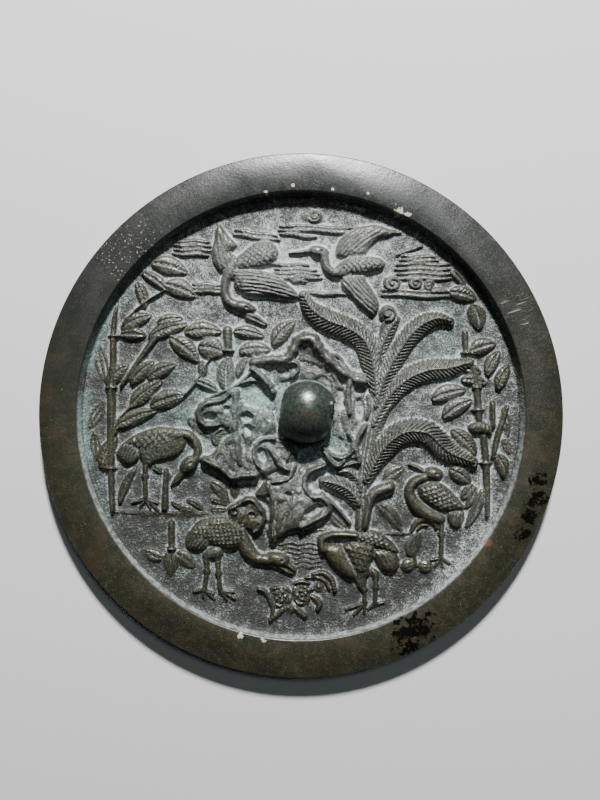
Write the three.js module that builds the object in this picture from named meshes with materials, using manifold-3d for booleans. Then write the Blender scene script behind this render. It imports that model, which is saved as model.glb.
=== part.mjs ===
// Ancient bronze mirror, seen from its cast back: a thick disc with a raised flat rim, a pierced dome
// knob, and a sunk field carved with six cranes, a palm, a garden rock, bamboo, clouds and small plants.
// It is one casting, so it is one mesh. Millimetres, +Z up. The mirror lies on its flat reflecting
// face: z = 0 is that face, the disc is centred on the Z axis, and +Y is the top of the carved scene.
import * as THREE from "three";
import { mergeVertices } from "three/addons/utils/BufferGeometryUtils.js";
import Module from "manifold-3d";

const wasm = await Module();
wasm.setup();

// Disc
const outerRadius = 98;
const rimWidth = 14;
const rimThickness = 8.2;
const plateThickness = 3;
const wallLean = 1.1; // how far the rim's inner wall leans in on its way down to the field
const footFillet = 0.7; // the small hollow where that wall meets the field
const edgeBevel = 0.5;
const discSides = 64;

// Knob, pierced from side to side for a cord
const knobRadius = 11.4;
const knobHeight = 13.8; // above the field
const knobWaist = 4; // height of the widest ring above the field
const knobFootRadius = 10.4;
const knobOffset = [2.2, 1.5]; // the casting has its knob a little off centre
const knobSides = 24;
const knobRings = 5;
const cordHoleWidth = 6.4;
const cordHoleHeight = 5.6;
const cordHoleCorner = 1.8;
const cordHoleSill = 1; // the hole's floor above the field

// Relief heights above the field
const leafHeight = 1.2;
const faintLeafHeight = 0.6;
const stalkHeight = 1.3;
const frondHeight = 1.7;
const cloudHeight = 0.7;
const rockHeight = 1;
const rockRidgeHeight = 2.3;
const craneHeight = 2.2;
const limbHeight = 1.1;
const plantHeight = 0.9;
const groundHeight = 0.5;
const rootDepth = 0.5; // how far each carved form is sunk into the plate

// The scene is laid out for a field of this radius, and grows and shrinks with the field.
const drawnFieldRadius = 82.9;
const fieldRadius = outerRadius - rimWidth - wallLean;
const share = fieldRadius / drawnFieldRadius;
const fieldZ = plateThickness;

// Places in the scene. A leaf is its root x, y, its tip x, y and its width.
const bambooLeaves = [
  // left thicket, from the top down
  [-56, 57.5, -43.5, 54, 5.5], [-60, 54, -50, 46.7, 3.3], [-51, 49.5, -40.3, 45, 5.5],
  [-62, 50, -59, 40.5, 3.5], [-67.5, 33, -57, 37.5, 4.5], [-68, 30.5, -59, 30, 4.2],
  [-54, 35, -45, 36.5, 3.5], [-57, 29.5, -43.3, 34.3, 4.5], [-49, 29, -39, 20.5, 5.5],
  [-43.5, 31.5, -30.5, 31.5, 5], [-38.5, 26, -29, 23.5, 6.5], [-73, 11.5, -65.5, 19, 4.5],
  [-64, 12, -56, 20, 4.5], [-57.5, 14, -48, 19, 4.5], [-64, 3.5, -53, 12.5, 5],
  [-56.5, 3.5, -44, 7.5, 5.5], [-69.5, -4.5, -55, 1.5, 4.6], [-75.3, -19.5, -70, -8.5, 4.5],
  [-68.5, -33, -62.5, -20, 2.6],
  // sprays beside the rock
  [-28, 10, -27.5, 22, 5], [-25, 31.8, -14.3, 29.8, 3.8], [-23, 24.3, -11.8, 24.8, 4.5],
  [-10.5, 27, -2.5, 35.5, 5], [-40, 13, -31.5, 9, 3], [-37.5, 20.5, -37.5, 14, 3], [-24, 15, -20.5, 22, 2.8],
  // right thicket, from the top down
  [57, 54.5, 62, 49, 3], [56.5, 46.5, 66, 44, 5], [65, 41.5, 67.5, 32.5, 5.5], [64, 24, 73.5, 27, 5],
  [70.5, 15.5, 75, 24, 4], [74.5, 10, 79, 19, 4], [62, 17.5, 68, 16, 3.5], [61, 13.5, 70, 12, 3.5],
  [50, 6.2, 62, 9.5, 5], [54, -0.5, 64.5, 5.5, 5], [58, -5.5, 66, -14.5, 5], [56.5, -20.5, 64, -25.5, 5],
  [65, -26.5, 60.5, -31.5, 3], [66, -27.5, 62.3, -35, 2.8], [68.5, -28.5, 62.5, -42, 3.2],
  [75, -15, 78, -24.5, 4.5],
];
const faintLeaves = [
  [-76, 24, -73.5, 12, 4.5], [-80, -4, -74, 5, 3.5], [-78, -5, -77.5, -15, 3], [76.5, -11, 79.5, -13.5, 2.4],
];
const sprigLeaves = [
  // beside the rock and the standing crane on the left
  [-42.5, -2, -33, -9, 4], [-34, -25.5, -28, -31, 3.4], [-34, -32, -28, -34, 1.8], [-34, -36, -28, -36, 1.8],
  [-26, -25, -25, -31.5, 2.6], [-49, -33, -43, -37, 1.8], [-43, -32, -37, -36, 1.8],
  // hanging sprig at the lower left
  [-52.5, -54, -59.5, -51.3, 3.2], [-50, -52, -49.5, -60.5, 4.8], [-47, -52.5, -40.5, -57.5, 4],
  // under the palm and at the lower right
  [32, -24.5, 39, -20.5, 4], [30, -34.5, 38, -43.5, 4], [17, -43, 11, -37, 3], [41, -53, 45, -45, 4],
];

// Stalks and trunks: half-width, then the points they run through.
const stalks = [
  [1.4, [-70, 42], [-71, 19], [-71.8, 10.5], [-72, -18], [-71.3, -36]],
  [1.2, [-68, 11], [-62, 19.5], [-55, 29.5]],
  [1.6, [-27.8, 32], [-27.5, 25.5]],
  [1.3, [62, 31], [62.3, 24.5]],
  [1.4, [66.5, 11], [67.3, -2]],
  [1.3, [69, -8], [70.2, -24], [70.7, -38]],
  [1.2, [72.5, 4.5], [72.5, -4]],
  [1.1, [78, 3], [75, -6], [72.5, -16]],
  [1.2, [-51, -21], [-51.5, -35]],
  [1.2, [-49, -41], [-49, -50.5]],
  [0.6, [44.5, -45], [43, -52], [43.5, -57]],
  [2.2, [22.5, -43], [22.5, -34]],
  [1.9, [24, -42], [26.4, -31], [33.5, -27]],
  [1.8, [22.5, -30], [24.5, -15], [28, 10]],
];
// Raised joints on the stalks: x, y, and half-length across the stalk.
const stalkJoints = [
  [-71.8, 10.5, 2.2], [-72, -19, 2], [-27.5, 24.5, 2], [62.5, 23, 1.9], [66.6, 10.5, 2], [67, 2, 2],
  [67.5, -5.3, 4.2], [70, -18, 1.8],
];

// Palm fronds: half-width, then the points of the midrib.
const fronds = [
  [4.5, [28, 8], [26.5, 22], [17, 33], [7, 37.5], [0.8, 45.5]],
  [2.5, [28.5, 14], [31, 27], [36.5, 36.5]],
  [3.2, [28, 5], [33, 18], [42, 31], [56, 35.7]],
  [4, [27, -2], [35, 10], [48, 17], [63.5, 20]],
  [4.8, [25, -24], [34, -9.5], [45, -6], [54, -12.5], [65, -17.7]],
  [3.3, [22, -34], [17.5, -27.5], [8, -24.6]],
  [2.3, [22.5, -29], [20, -22.5], [14.5, -21.5]],
];
const palmBud = [32.8, 38.3, 2.8];
const barbPitch = 5.6; // between the barbs of a frond, along its midrib
const barbSweep = 1.6; // how far a barb's outer end runs ahead of its root
const barbRise = 0.75; // height of a barb's outer end, as a share of the midrib's
const barbDip = 0.3; // and of the furrow between two barbs

// Cranes. Lobes and heads are x, y, length, width and heading. Necks are half-width, then points. A fan
// of feathers runs from a line of roots to a line of tips. Legs, beaks and toes are points.
const cranes = [
  {
    // flying, upper left
    lobes: [[-19, 60, 19, 10.4, 15], [-20, 50.6, 11, 9, -20]],
    neck: [1.7, [-26.5, 55.5], [-28.4, 49.5], [-28, 44.5], [-25, 41.8]],
    head: [-21.2, 40.9, 8.6, 3.9, -13],
    beak: [[-20, 38.5], [-13.2, 34.4]],
    fans: [
      { roots: [[-30.6, 54.5], [-25, 60]], tips: [[-31.6, 72], [-25, 66]], quills: 4 },
      { roots: [[-20, 46.6], [-16.5, 54.6]], tips: [[-2.6, 44], [-4.6, 51]], quills: 4 },
    ],
    legs: [],
    toes: [],
  },
  {
    // flying, upper right
    lobes: [[22, 56.6, 19.4, 7.2, 2]],
    neck: [1.6, [16, 54.2], [12.5, 54], [9.2, 56.6], [8.3, 61]],
    head: [6.7, 62.4, 7.8, 4, -5],
    beak: [[3.5, 62.3], [-4, 61.3]],
    fans: [
      { roots: [[14, 59.5], [20, 61.5]], tips: [[26, 71.6], [28.6, 66.5]], quills: 4 },
      { roots: [[16.4, 51], [26, 53]], tips: [[26, 38], [29.6, 44]], quills: 4 },
    ],
    legs: [],
    toes: [],
  },
  {
    // standing, left, reaching down
    lobes: [[-55.6, -10.8, 25, 12.4, 8]],
    neck: [1.6, [-47, -7.2], [-42.5, -7], [-39.4, -10], [-39.6, -16]],
    head: [-42.2, -18.8, 8.4, 5, 40],
    beak: [[-44.5, -21], [-48.7, -26.5]],
    fans: [{ roots: [[-63, -9], [-59, -14]], tips: [[-69.5, -14.5], [-63.4, -18.6]], quills: 3 }],
    legs: [[[-58.5, -17], [-58.7, -31]]],
    toes: [[-58.7, -31, -64, -33.5], [-58.7, -31, -54.4, -33], [-58.7, -31, -54, -36]],
  },
  {
    // standing, lower left, reaching forward
    lobes: [[-29, -44.5, 20, 12, -12], [-39.5, -47.5, 10, 7.8, -30], [-33.5, -52, 8, 4.4, 0]],
    neck: [1.9, [-22, -48.5], [-20.2, -52.4], [-16.8, -55], [-12.6, -55.2]],
    head: [-9, -54.6, 9.2, 5.2, -10],
    beak: [[-6.5, -57], [-2.7, -59.4]],
    fans: [],
    legs: [[[-35.5, -54], [-35.5, -60], [-36.5, -66]], [[-31.5, -54], [-30.5, -66]]],
    toes: [
      [-36.5, -66, -40, -66.8], [-36.5, -66, -33, -69.5], [-30.5, -66, -25.4, -67.6], [-30.5, -66, -25, -70],
    ],
  },
  {
    // standing, bottom, preening with its head on its back
    lobes: [
      [13.5, -54, 17, 9.4, -52], [21.5, -52, 14, 12, 0],
      [31.5, -53.4, 12, 11, -60], [21.5, -58.4, 13, 7, -15],
    ],
    neck: [1.6, [8.6, -52], [7.8, -48], [11, -45.8], [19, -45.5]],
    head: [22.6, -46.4, 6.4, 4, -10],
    beak: [[24.6, -47], [28.8, -49.2]],
    fans: [],
    legs: [[[24, -60], [24, -70.6]], [[28.5, -58], [28, -71]]],
    toes: [[24.5, -71, 17, -73.4], [25, -71.6, 20, -75.5], [27.4, -72.3, 31.5, -71]],
  },
  {
    // standing, right, looking back
    lobes: [[52.7, -31, 19, 10.6, -18]],
    neck: [1.8, [50.5, -38], [44, -33.5], [41, -29.3], [42, -25.7], [47, -23.2]],
    head: [50.3, -22, 6.8, 5.2, 0],
    beak: [[47.5, -21.3], [41.3, -18.7]],
    fans: [{ roots: [[55, -35.5], [60, -35]], tips: [[56, -41.4], [61.5, -41.6]], quills: 2 }],
    legs: [[[52.5, -38.6], [53, -54]], [[51, -41], [46.4, -39.8], [42, -43.8]]],
    toes: [[53, -54, 49, -54.8], [53, -54, 50.6, -57], [53, -54, 56.2, -56]],
  },
];

// Banks of cloud streaks: left end, right end, count, and the step down from one streak to the next.
const cloudBanks = [
  { left: [-48, 66], right: [-35, 65.8], count: 4, step: 1.9 },
  { left: [-41, 49.5], right: [-31, 49.2], count: 2, step: 2 },
  { left: [-25, 70], right: [-9, 67.8], count: 2, step: 1.6 },
  { left: [-8, 71.8], right: [22, 70.6], count: 2, step: 1.7 },
  { left: [27, 69.4], right: [38, 69.2], count: 1, step: 0 },
  { left: [-10, 56.8], right: [5, 56.6], count: 3, step: 1.9 },
  { left: [0, 46.4], right: [17, 45.7], count: 1, step: 0 },
  { left: [37, 60], right: [55, 59.4], count: 4, step: 2 },
  { left: [31.5, 47.4], right: [57, 46.5], count: 2, step: 2 },
];
const cloudStreakWidth = 1.6;
// Curled heads: x, y, radius.
const cloudCurls = [[35, 49.8, 3.4], [43.5, 50, 2.8], [48.4, 48.9, 2.2], [1.6, 75, 2.7], [6.8, 75.2, 3]];

// Garden rock: lobes that make up its mass, hollows worn into it, and the ridges that run over it.
const rockLobes = [
  [-12, 18, 17, 9, 0], [2.5, 24.5, 11, 13, 0], [14.5, 15.5, 22, 11, -35], [1, 4, 45, 31, 0],
  [21.5, -3, 22, 9, 95], [-24, 2, 18, 21, 0], [-34, 0, 12, 12.5, 0], [-26, -14, 20, 17, 0],
  [-31, -18.6, 14, 5, -15], [-10, -17, 26, 19, 0], [14, -14, 22, 13, 0], [-9, -33, 32, 11, 90],
  [-21, -38, 14, 13, 0], [5, -27, 11, 18, 0], [5, -35.5, 15, 13, 0],
];
const rockHollows = [
  [2, 25, 3.4, 3.2, 0], [-6.5, 16.6, 5, 2.6, -20], [-16.5, 6.5, 11, 9.6, 0],
  [-34, -0.6, 5, 3.4, 0], [-20, -3.6, 7, 4.4, 85], [-14, -15, 5.4, 5, 0], [-10, -21.6, 4.4, 3.4, 0],
  [13, -11, 6.6, 5.6, 0], [22, 3, 9, 3.2, 88], [5.6, -26, 4.4, 4, 0], [4, -36, 6.4, 4.4, 10],
  [-9, -40, 9, 2.6, 84],
];
const rockRidges = [
  [1.6, [-17.5, 20], [-6, 21.3], [-0.3, 29.5], [4.5, 29.7], [10.5, 21], [17, 15.5], [23.7, 12.6]],
  [1, [-7, 19], [-2, 19.4], [-3, 14.5]],
  [1, [-17, 16], [-11, 10.6]],
  [1.3, [-25, 10], [-29.5, 5.4], [-37, 3.8], [-38, -2], [-34, -4.6], [-28.5, -7]],
  [1.7, [-24.6, 8], [-24.8, -4], [-23, -18]],
  [1.4, [-37, -17], [-28, -21.2], [-17, -23]],
  [1.1, [-10, -8.5], [-15.6, -9.4], [-18, -14], [-15.5, -19.5]],
  [1.1, [-12, -13], [-7, -20]],
  [1.1, [-2.2, -19], [-7, -24.8], [-13, -23.7]],
  [1.2, [18.5, 12], [18, 2], [18.5, -4]],
  [1.2, [24.3, -4], [20.7, -11], [22, -18]],
  [1, [9, -12], [13.6, -16], [19, -14], [18.6, -7.6]],
  [1.1, [9.6, -14.6], [14.5, -19.4], [22, -18.6]],
  [1.2, [8.5, -19.5], [2, -23], [3, -29.5], [11, -33], [9, -38], [0, -41.6]],
  [1, [-3.5, -28], [-4.5, -36], [-7, -46]],
  [1.1, [-13, -28], [-12.2, -46]],
  [1.1, [-27, -36], [-20, -32], [-14.6, -37.6], [-18, -43.6]],
];
const rockCurls = [[-24.6, -38, 1.9], [-18.8, -38, 2]];

// Bottom of the scene: the bank, ripples, and a tortoise with its shells and weed.
const bankLines = [
  [0.7, [-70, -36.6], [-54, -37], [-27, -38]],
  [0.6, [1, -43.5], [20, -44.4]],
  [0.6, [32, -44.8], [42, -45]],
];
const ripples = { left: [-8, -49], right: [7, -49], count: 4, step: 2.5 };
const rippleWidth = 1.2;
const shellCurls = [[-8, -69.5, 4.2], [0, -68.3, 3.5]];
const shellBeads = [
  [-4, -72.5, 4, 3.6, 0], [0, -75, 4, 3.2, 0], [-9.5, -76.3, 5.6, 2.6, 35], [5.8, -71.5, 2.8, 4.2, 10],
  [6.6, -64.8, 3.8, 2.8, 0], [41, -57, 5.2, 4.6, 20], [47, -57.3, 5.4, 5, 0],
];
const weedLines = [
  [0.8, [-16, -65.5], [-13, -69], [-11, -74]],
  [1.1, [5, -60], [11, -61.6], [13, -66.5]],
];

// A closed mesh from its vertices and triangles as a solid.
function solidOf(vertices, triangles) {
  const mesh = new wasm.Mesh({
    numProp: 3,
    vertProperties: new Float32Array(vertices),
    triVerts: new Uint32Array(triangles),
  });
  return new wasm.Manifold(mesh);
}

// A three.js geometry as a solid.
function solidOfGeometry(geometry) {
  const bare = geometry.clone();
  bare.deleteAttribute("normal");
  bare.deleteAttribute("uv");
  const merged = mergeVertices(bare, 1e-3);
  const triangles = [];
  for (let i = 0; i < merged.index.count; i += 3) {
    const [a, b, c] = merged.index.array.slice(i, i + 3);
    if (a !== b && b !== c && c !== a) triangles.push(a, b, c);
  }
  return solidOf(merged.attributes.position.array, triangles);
}

// Turns and moves a form that was made around the origin to its place in the field.
function place(geometry, x, y, heading) {
  geometry.rotateZ(THREE.MathUtils.degToRad(heading));
  return solidOfGeometry(geometry.translate(x * share, y * share, fieldZ));
}

// How much wider a slope is at the depth where its foot is rooted than at the field.
function spread(height) {
  return 1 + rootDepth / height;
}

// A leaf or feather between two points: a lens with a ridge, pointed at both ends.
function leaf([x0, y0, x1, y1, width], height) {
  const [ridgeTail, ridgeTip] = [-0.2, 0.24];
  const edge = [[-0.5, 0, ridgeTail], [-0.14, 0.5, ridgeTail], [0.16, 0.42, ridgeTip], [0.5, 0, ridgeTip]];
  const outline = [...edge, [0.16, -0.42, ridgeTip], [-0.14, -0.5, ridgeTail]];
  const long = Math.hypot(x1 - x0, y1 - y0) * share;
  const wider = spread(height);
  const vertices = outline.flatMap(([u, v, root]) => {
    return [(root + (u - root) * wider) * long, v * wider * width * share, -rootDepth];
  });
  vertices.push(ridgeTail * long, 0, height, ridgeTip * long, 0, height);
  const [tail, tip] = [6, 7];
  const geometry = new THREE.BufferGeometry();
  geometry.setAttribute("position", new THREE.Float32BufferAttribute(vertices, 3));
  geometry.setIndex([
    tail, 1, 0, tail, tip, 1, tip, 2, 1, tip, 3, 2, tip, 4, 3, tip, 5, 4, tip, tail, 5, tail, 0, 5,
    0, 1, 5, 1, 2, 5, 2, 4, 5, 2, 3, 4,
  ]);
  const heading = THREE.MathUtils.radToDeg(Math.atan2(y1 - y0, x1 - x0));
  return place(geometry, (x0 + x1) / 2, (y0 + y1) / 2, heading);
}

// An oval dome turned about its own axis: bodies, heads, beads and curls.
function dome([x, y, length, width, heading], height, sides = 6) {
  const [shoulder, shoulderHeight] = [0.7, 0.72];
  const foot = shoulder + (1 - shoulder) * (1 + rootDepth / (shoulderHeight * height));
  const outline = [[0, -rootDepth], [foot, -rootDepth], [shoulder, shoulderHeight * height], [0, height]];
  const turned = new THREE.LatheGeometry(outline.map(([r, z]) => new THREE.Vector2(r, z)), sides);
  turned.rotateX(Math.PI / 2);
  turned.scale((length / 2) * share, (width / 2) * share, 1);
  return place(turned, x, y, heading);
}

// A curled head: a low dome with a smaller one on it.
function curl([x, y, radius], height) {
  const small = [x + radius * 0.15, y - radius * 0.1, radius, radius, 30];
  return [dome([x, y, radius * 2, radius * 2, 0], height), dome(small, height * 1.7, 6)];
}

// A flat-topped drum with sloping sides: a lobe of rock, or what a hollow takes out of it.
function drum([x, y, length, width, heading], topRadius, footRadius, top, foot, sides) {
  const turned = new THREE.CylinderGeometry(topRadius, footRadius, top - foot, sides);
  turned.rotateX(Math.PI / 2);
  turned.translate(0, 0, (top + foot) / 2);
  turned.scale((length / 2) * share, (width / 2) * share, 1);
  return place(turned, x, y, heading);
}

// A toe, beak or streak between two points: a four-sided spike that lies along them.
function sliver([x0, y0, x1, y1, width], height) {
  const heading = THREE.MathUtils.radToDeg(Math.atan2(y1 - y0, x1 - x0));
  const oval = [(x0 + x1) / 2, (y0 + y1) / 2, Math.hypot(x1 - x0, y1 - y0), width, heading];
  return drum(oval, 0, spread(height), height, -rootDepth, 4);
}

// A ridge that runs through its stations: x, y, half-width, how far its edges run ahead of the middle,
// and the height of its shoulders. Both ends close in a point, so it grows out of the plate.
function sweep(stations, height, shoulder) {
  const last = stations.length - 1;
  const low = fieldZ - rootDepth;
  const vertices = [];
  const triangles = [];
  const tangents = stations.map((_, i) => {
    const a = stations[Math.max(i - 1, 0)];
    const b = stations[Math.min(i + 1, last)];
    return new THREE.Vector2(b.x - a.x, b.y - a.y).normalize();
  });
  const point = (x, y, z) => vertices.push(x * share, y * share, z) / 3 - 1;
  const nose = (i, way) => {
    const s = stations[i];
    const reach = s.half * spread(height) * way;
    return point(s.x + tangents[i].x * reach, s.y + tangents[i].y * reach, low);
  };
  const ring = (s, t) => {
    const at = (off, z) => {
      const ahead = (s.ahead ?? 0) * Math.abs(off / s.half);
      return point(s.x + t.y * off + t.x * ahead, s.y - t.x * off + t.y * ahead, z);
    };
    const foot = s.half * (shoulder ? 1 + (1 - shoulder) * spread(height) : spread(height));
    const edge = fieldZ + height * (s.edge ?? 1);
    const left = shoulder ? [at(-foot, low), at(-s.half * shoulder, edge)] : [at(-foot, low)];
    const top = at(0, fieldZ + height);
    const right = shoulder ? [at(s.half * shoulder, edge), at(foot, low)] : [at(foot, low)];
    return [...left, top, ...right];
  };
  const first = nose(0, -1);
  const rings = stations.map((s, i) => ring(s, tangents[i]));
  const end = nose(last, 1);
  const size = rings[0].length;
  for (let k = 0; k < size; k++) {
    const next = (k + 1) % size;
    triangles.push(first, rings[0][next], rings[0][k]);
    for (let i = 0; i < last; i++) {
      const [a, b, c, d] = [rings[i][k], rings[i][next], rings[i + 1][next], rings[i + 1][k]];
      triangles.push(a, b, c, a, c, d);
    }
    triangles.push(rings[last][k], rings[last][next], end);
  }
  return solidOf(vertices, triangles);
}

// A ridge of one half-width through a few points, thinner at its ends.
function ridge([half, ...points], height) {
  const last = points.length - 1;
  const stations = points.map(([x, y], i) => ({ x, y, half: i === 0 || i === last ? half * 0.8 : half }));
  return sweep(stations, height, 0);
}

// A frond: its midrib is a smooth curve, and its edges rise and dip with the barbs.
function frond([half, ...rib]) {
  const curve = new THREE.CatmullRomCurve3(rib.map(([x, y]) => new THREE.Vector3(x, y, 0)));
  const steps = Math.max(3, Math.round(curve.getLength() / (barbPitch / 2)));
  const stations = [];
  for (let i = 0; i <= steps; i++) {
    const t = i / steps;
    const p = curve.getPointAt(t);
    const full = Math.min(1, 0.35 + t * 3) * Math.min(1, 0.3 + (1 - t) * 2.4);
    const barb = i % 2 === 0;
    const reach = half * full * (barb ? 1 : 0.8);
    stations.push({ x: p.x, y: p.y, half: reach, ahead: barbSweep * full, edge: barb ? barbRise : barbDip });
  }
  return sweep(stations, frondHeight, 0.9);
}

// A fan of feathers between its line of roots and its line of tips.
function fan({ roots, tips, quills }) {
  const span = ([a, b]) => Math.hypot(b[0] - a[0], b[1] - a[1]);
  const width = (1.2 * Math.max(span(roots), span(tips))) / (quills - 1);
  return Array.from({ length: quills }, (_, i) => {
    const t = i / (quills - 1);
    const along = ([a, b]) => [a[0] + (b[0] - a[0]) * t, a[1] + (b[1] - a[1]) * t];
    return leaf([...along(roots), ...along(tips), Math.min(width, 4)], craneHeight * 0.65);
  });
}

function crane(bird) {
  return [
    ...bird.lobes.map((lobe, i) => dome(lobe, craneHeight * (1 - 0.08 * i), 10)),
    ridge(bird.neck, craneHeight * 0.75),
    dome(bird.head, craneHeight * 0.85),
    sliver([...bird.beak.flat(), 2.8], limbHeight),
    ...bird.fans.flatMap(fan),
    ...bird.legs.map((leg) => ridge([1.1, ...leg], limbHeight)),
    ...bird.toes.map((toe) => sliver([...toe, 1.6], plantHeight)),
  ];
}

// The rock: its lobes and ridges, with the hollows cut out of both down to just above the field.
function rock() {
  const raised = wasm.Manifold.union([
    ...rockLobes.map((lobe) => drum(lobe, 0.95, 1, rockHeight, -rootDepth, 10)),
    ...rockRidges.map((r) => ridge(r, rockRidgeHeight)),
    ...rockCurls.flatMap((c) => curl(c, rockHeight * 1.3)),
  ]);
  const hollows = rockHollows.map((h) => drum(h, 1.5, 0.8, rockRidgeHeight * 2, rockHeight * 0.1, 6));
  return raised.subtract(wasm.Manifold.union(hollows));
}

function bamboo() {
  return [
    ...bambooLeaves.map((l) => leaf(l, leafHeight)),
    ...faintLeaves.map((l) => leaf(l, faintLeafHeight)),
    ...stalks.map((s) => ridge(s, stalkHeight)),
    ...stalkJoints.map(([x, y, half]) => sliver([x - half, y, x + half, y, 2.4], stalkHeight * 1.25)),
  ];
}

function palm() {
  return [...fronds.map(frond), ...curl(palmBud, leafHeight)];
}

// A bank of parallel streaks.
function bank({ left, right, count, step }, width, height) {
  return Array.from({ length: count }, (_, i) => {
    return sliver([left[0], left[1] - step * i, right[0], right[1] - step * i, width], height);
  });
}

function clouds() {
  return [
    ...cloudBanks.flatMap((b) => bank(b, cloudStreakWidth, cloudHeight)),
    ...cloudCurls.map(([x, y, radius]) => dome([x, y, radius * 2, radius * 2, 0], cloudHeight)),
  ];
}

function shore() {
  return [
    ...sprigLeaves.map((l) => leaf(l, plantHeight)),
    ...bankLines.map((l) => ridge(l, groundHeight)),
    ...bank(ripples, rippleWidth, groundHeight),
    ...shellCurls.flatMap((c) => curl(c, plantHeight)),
    ...shellBeads.map((b) => dome(b, plantHeight, 6)),
    ...weedLines.map((l) => ridge(l, plantHeight)),
  ];
}

// The bare disc, turned from the outline of half its section.
function disc() {
  const inner = outerRadius - rimWidth;
  const outline = [
    [0, 0],
    [outerRadius - edgeBevel, 0],
    [outerRadius, edgeBevel],
    [outerRadius, rimThickness - edgeBevel],
    [outerRadius - edgeBevel, rimThickness],
    [inner, rimThickness],
    [fieldRadius, fieldZ + footFillet],
    [fieldRadius - footFillet, fieldZ],
    [0, fieldZ],
  ];
  const turned = new THREE.LatheGeometry(outline.map(([r, z]) => new THREE.Vector2(r, z)), discSides);
  return solidOfGeometry(turned.rotateX(Math.PI / 2));
}

// The knob: a dome on a slightly narrower foot, sunk into the plate.
function knob() {
  const outline = [new THREE.Vector2(0, -rootDepth), new THREE.Vector2(knobFootRadius, -rootDepth)];
  for (let i = 0; i <= knobRings; i++) {
    const turn = (i / knobRings) * (Math.PI / 2);
    const z = knobWaist + (knobHeight - knobWaist) * Math.sin(turn);
    outline.push(new THREE.Vector2(i === knobRings ? 0 : knobRadius * Math.cos(turn), z));
  }
  const turned = new THREE.LatheGeometry(outline, knobSides).rotateX(Math.PI / 2);
  return solidOfGeometry(turned.translate(...knobOffset, fieldZ));
}

// What the cord hole takes away: a bar with rounded corners along X, through the whole knob.
function cordHole() {
  const [w, h, r] = [cordHoleWidth / 2, cordHoleHeight / 2, cordHoleCorner];
  const shape = new THREE.Shape();
  shape.absarc(w - r, h - r, r, 0, Math.PI / 2);
  shape.absarc(r - w, h - r, r, Math.PI / 2, Math.PI);
  shape.absarc(r - w, r - h, r, Math.PI, Math.PI * 1.5);
  shape.absarc(w - r, r - h, r, Math.PI * 1.5, Math.PI * 2);
  const length = knobRadius * 2 + 2;
  const bar = new THREE.ExtrudeGeometry(shape, { depth: length, bevelEnabled: false, curveSegments: 3 });
  bar.translate(0, 0, -length / 2).rotateX(Math.PI / 2).rotateZ(Math.PI / 2);
  bar.translate(...knobOffset, fieldZ + cordHoleSill + h);
  return solidOfGeometry(bar);
}

// The whole casting.
function mirror() {
  const carving = [...bamboo(), ...palm(), ...cranes.flatMap(crane), ...clouds(), ...shore(), rock()];
  return wasm.Manifold.union([disc(), ...carving, knob()]).subtract(cordHole());
}

function meshOf(solid, name, material) {
  const made = solid.getMesh();
  const geometry = new THREE.BufferGeometry();
  geometry.setAttribute("position", new THREE.BufferAttribute(made.vertProperties, made.numProp));
  geometry.setIndex(new THREE.BufferAttribute(made.triVerts, 1));
  geometry.computeVertexNormals();
  const mesh = new THREE.Mesh(geometry, material);
  mesh.name = name;
  return mesh;
}

const bronze = new THREE.MeshStandardMaterial({ color: 0x4a4a40, roughness: 0.55, metalness: 0.6 });

const group = new THREE.Group();
group.add(meshOf(mirror(), "bronze_mirror", bronze));

export default group;
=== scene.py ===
# Ancient bronze mirror, cast back up: one fine mesh with the relief in it, a worn bronze and patina
# material, a pale floor and soft studio light. Lengths are in millimetres until the mesh is made.
import math

import bpy
import numpy as np
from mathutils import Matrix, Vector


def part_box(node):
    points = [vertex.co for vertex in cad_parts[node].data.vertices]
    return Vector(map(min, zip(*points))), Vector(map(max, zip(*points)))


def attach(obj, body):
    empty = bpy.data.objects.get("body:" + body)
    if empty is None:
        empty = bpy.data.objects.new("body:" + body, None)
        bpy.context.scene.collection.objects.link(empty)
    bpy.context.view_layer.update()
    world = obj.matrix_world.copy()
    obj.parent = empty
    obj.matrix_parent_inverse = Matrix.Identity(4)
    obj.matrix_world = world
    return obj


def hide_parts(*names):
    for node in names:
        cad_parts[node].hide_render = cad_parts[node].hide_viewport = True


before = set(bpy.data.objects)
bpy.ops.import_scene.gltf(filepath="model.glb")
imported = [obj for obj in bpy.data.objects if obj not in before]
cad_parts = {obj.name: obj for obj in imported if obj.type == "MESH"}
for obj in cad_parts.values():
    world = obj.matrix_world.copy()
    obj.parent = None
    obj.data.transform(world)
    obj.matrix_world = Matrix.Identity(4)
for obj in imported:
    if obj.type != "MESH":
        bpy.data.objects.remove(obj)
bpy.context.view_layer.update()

# Sizes of the casting
MM = 0.001
low_corner, high_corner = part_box("bronze_mirror")
OUTER_RADIUS = (high_corner[0] - low_corner[0]) / 2 / MM
TOP_HEIGHT = high_corner[2] / MM
RIM_WIDTH = 14.0
RIM_THICKNESS = 8.2
PLATE_THICKNESS = 3.0
WALL_LEAN = 1.1
FOOT_FILLET = 0.7
EDGE_BEVEL = 0.5
RIM_INNER = OUTER_RADIUS - RIM_WIDTH
FIELD_RADIUS = RIM_INNER - WALL_LEAN

# Knob and its cord hole
KNOB_CENTRE = (2.2, 1.5)
KNOB_RADIUS = 11.4
KNOB_FOOT_RADIUS = 10.4
KNOB_WAIST = 4.0
KNOB_ROOT = 0.8
KNOB_HEIGHT = TOP_HEIGHT - PLATE_THICKNESS
HOLE_WIDTH = 6.4
HOLE_HEIGHT = 5.6
HOLE_CORNER = 1.8
HOLE_SILL = 1.0
HOLE_FLOOR = 0.5
# The hole's worn mouths: place along X, and how much wider and higher the hole is there
HOLE_FLARES = (
    (-13.0, 1.5, 1.6), (-9.8, 1.2, 1.2), (-8.0, 1.0, 1.0), (7.2, 1.0, 1.0), (8.8, 1.1, 1.3),
    (13.0, 1.4, 1.9),
)
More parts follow.
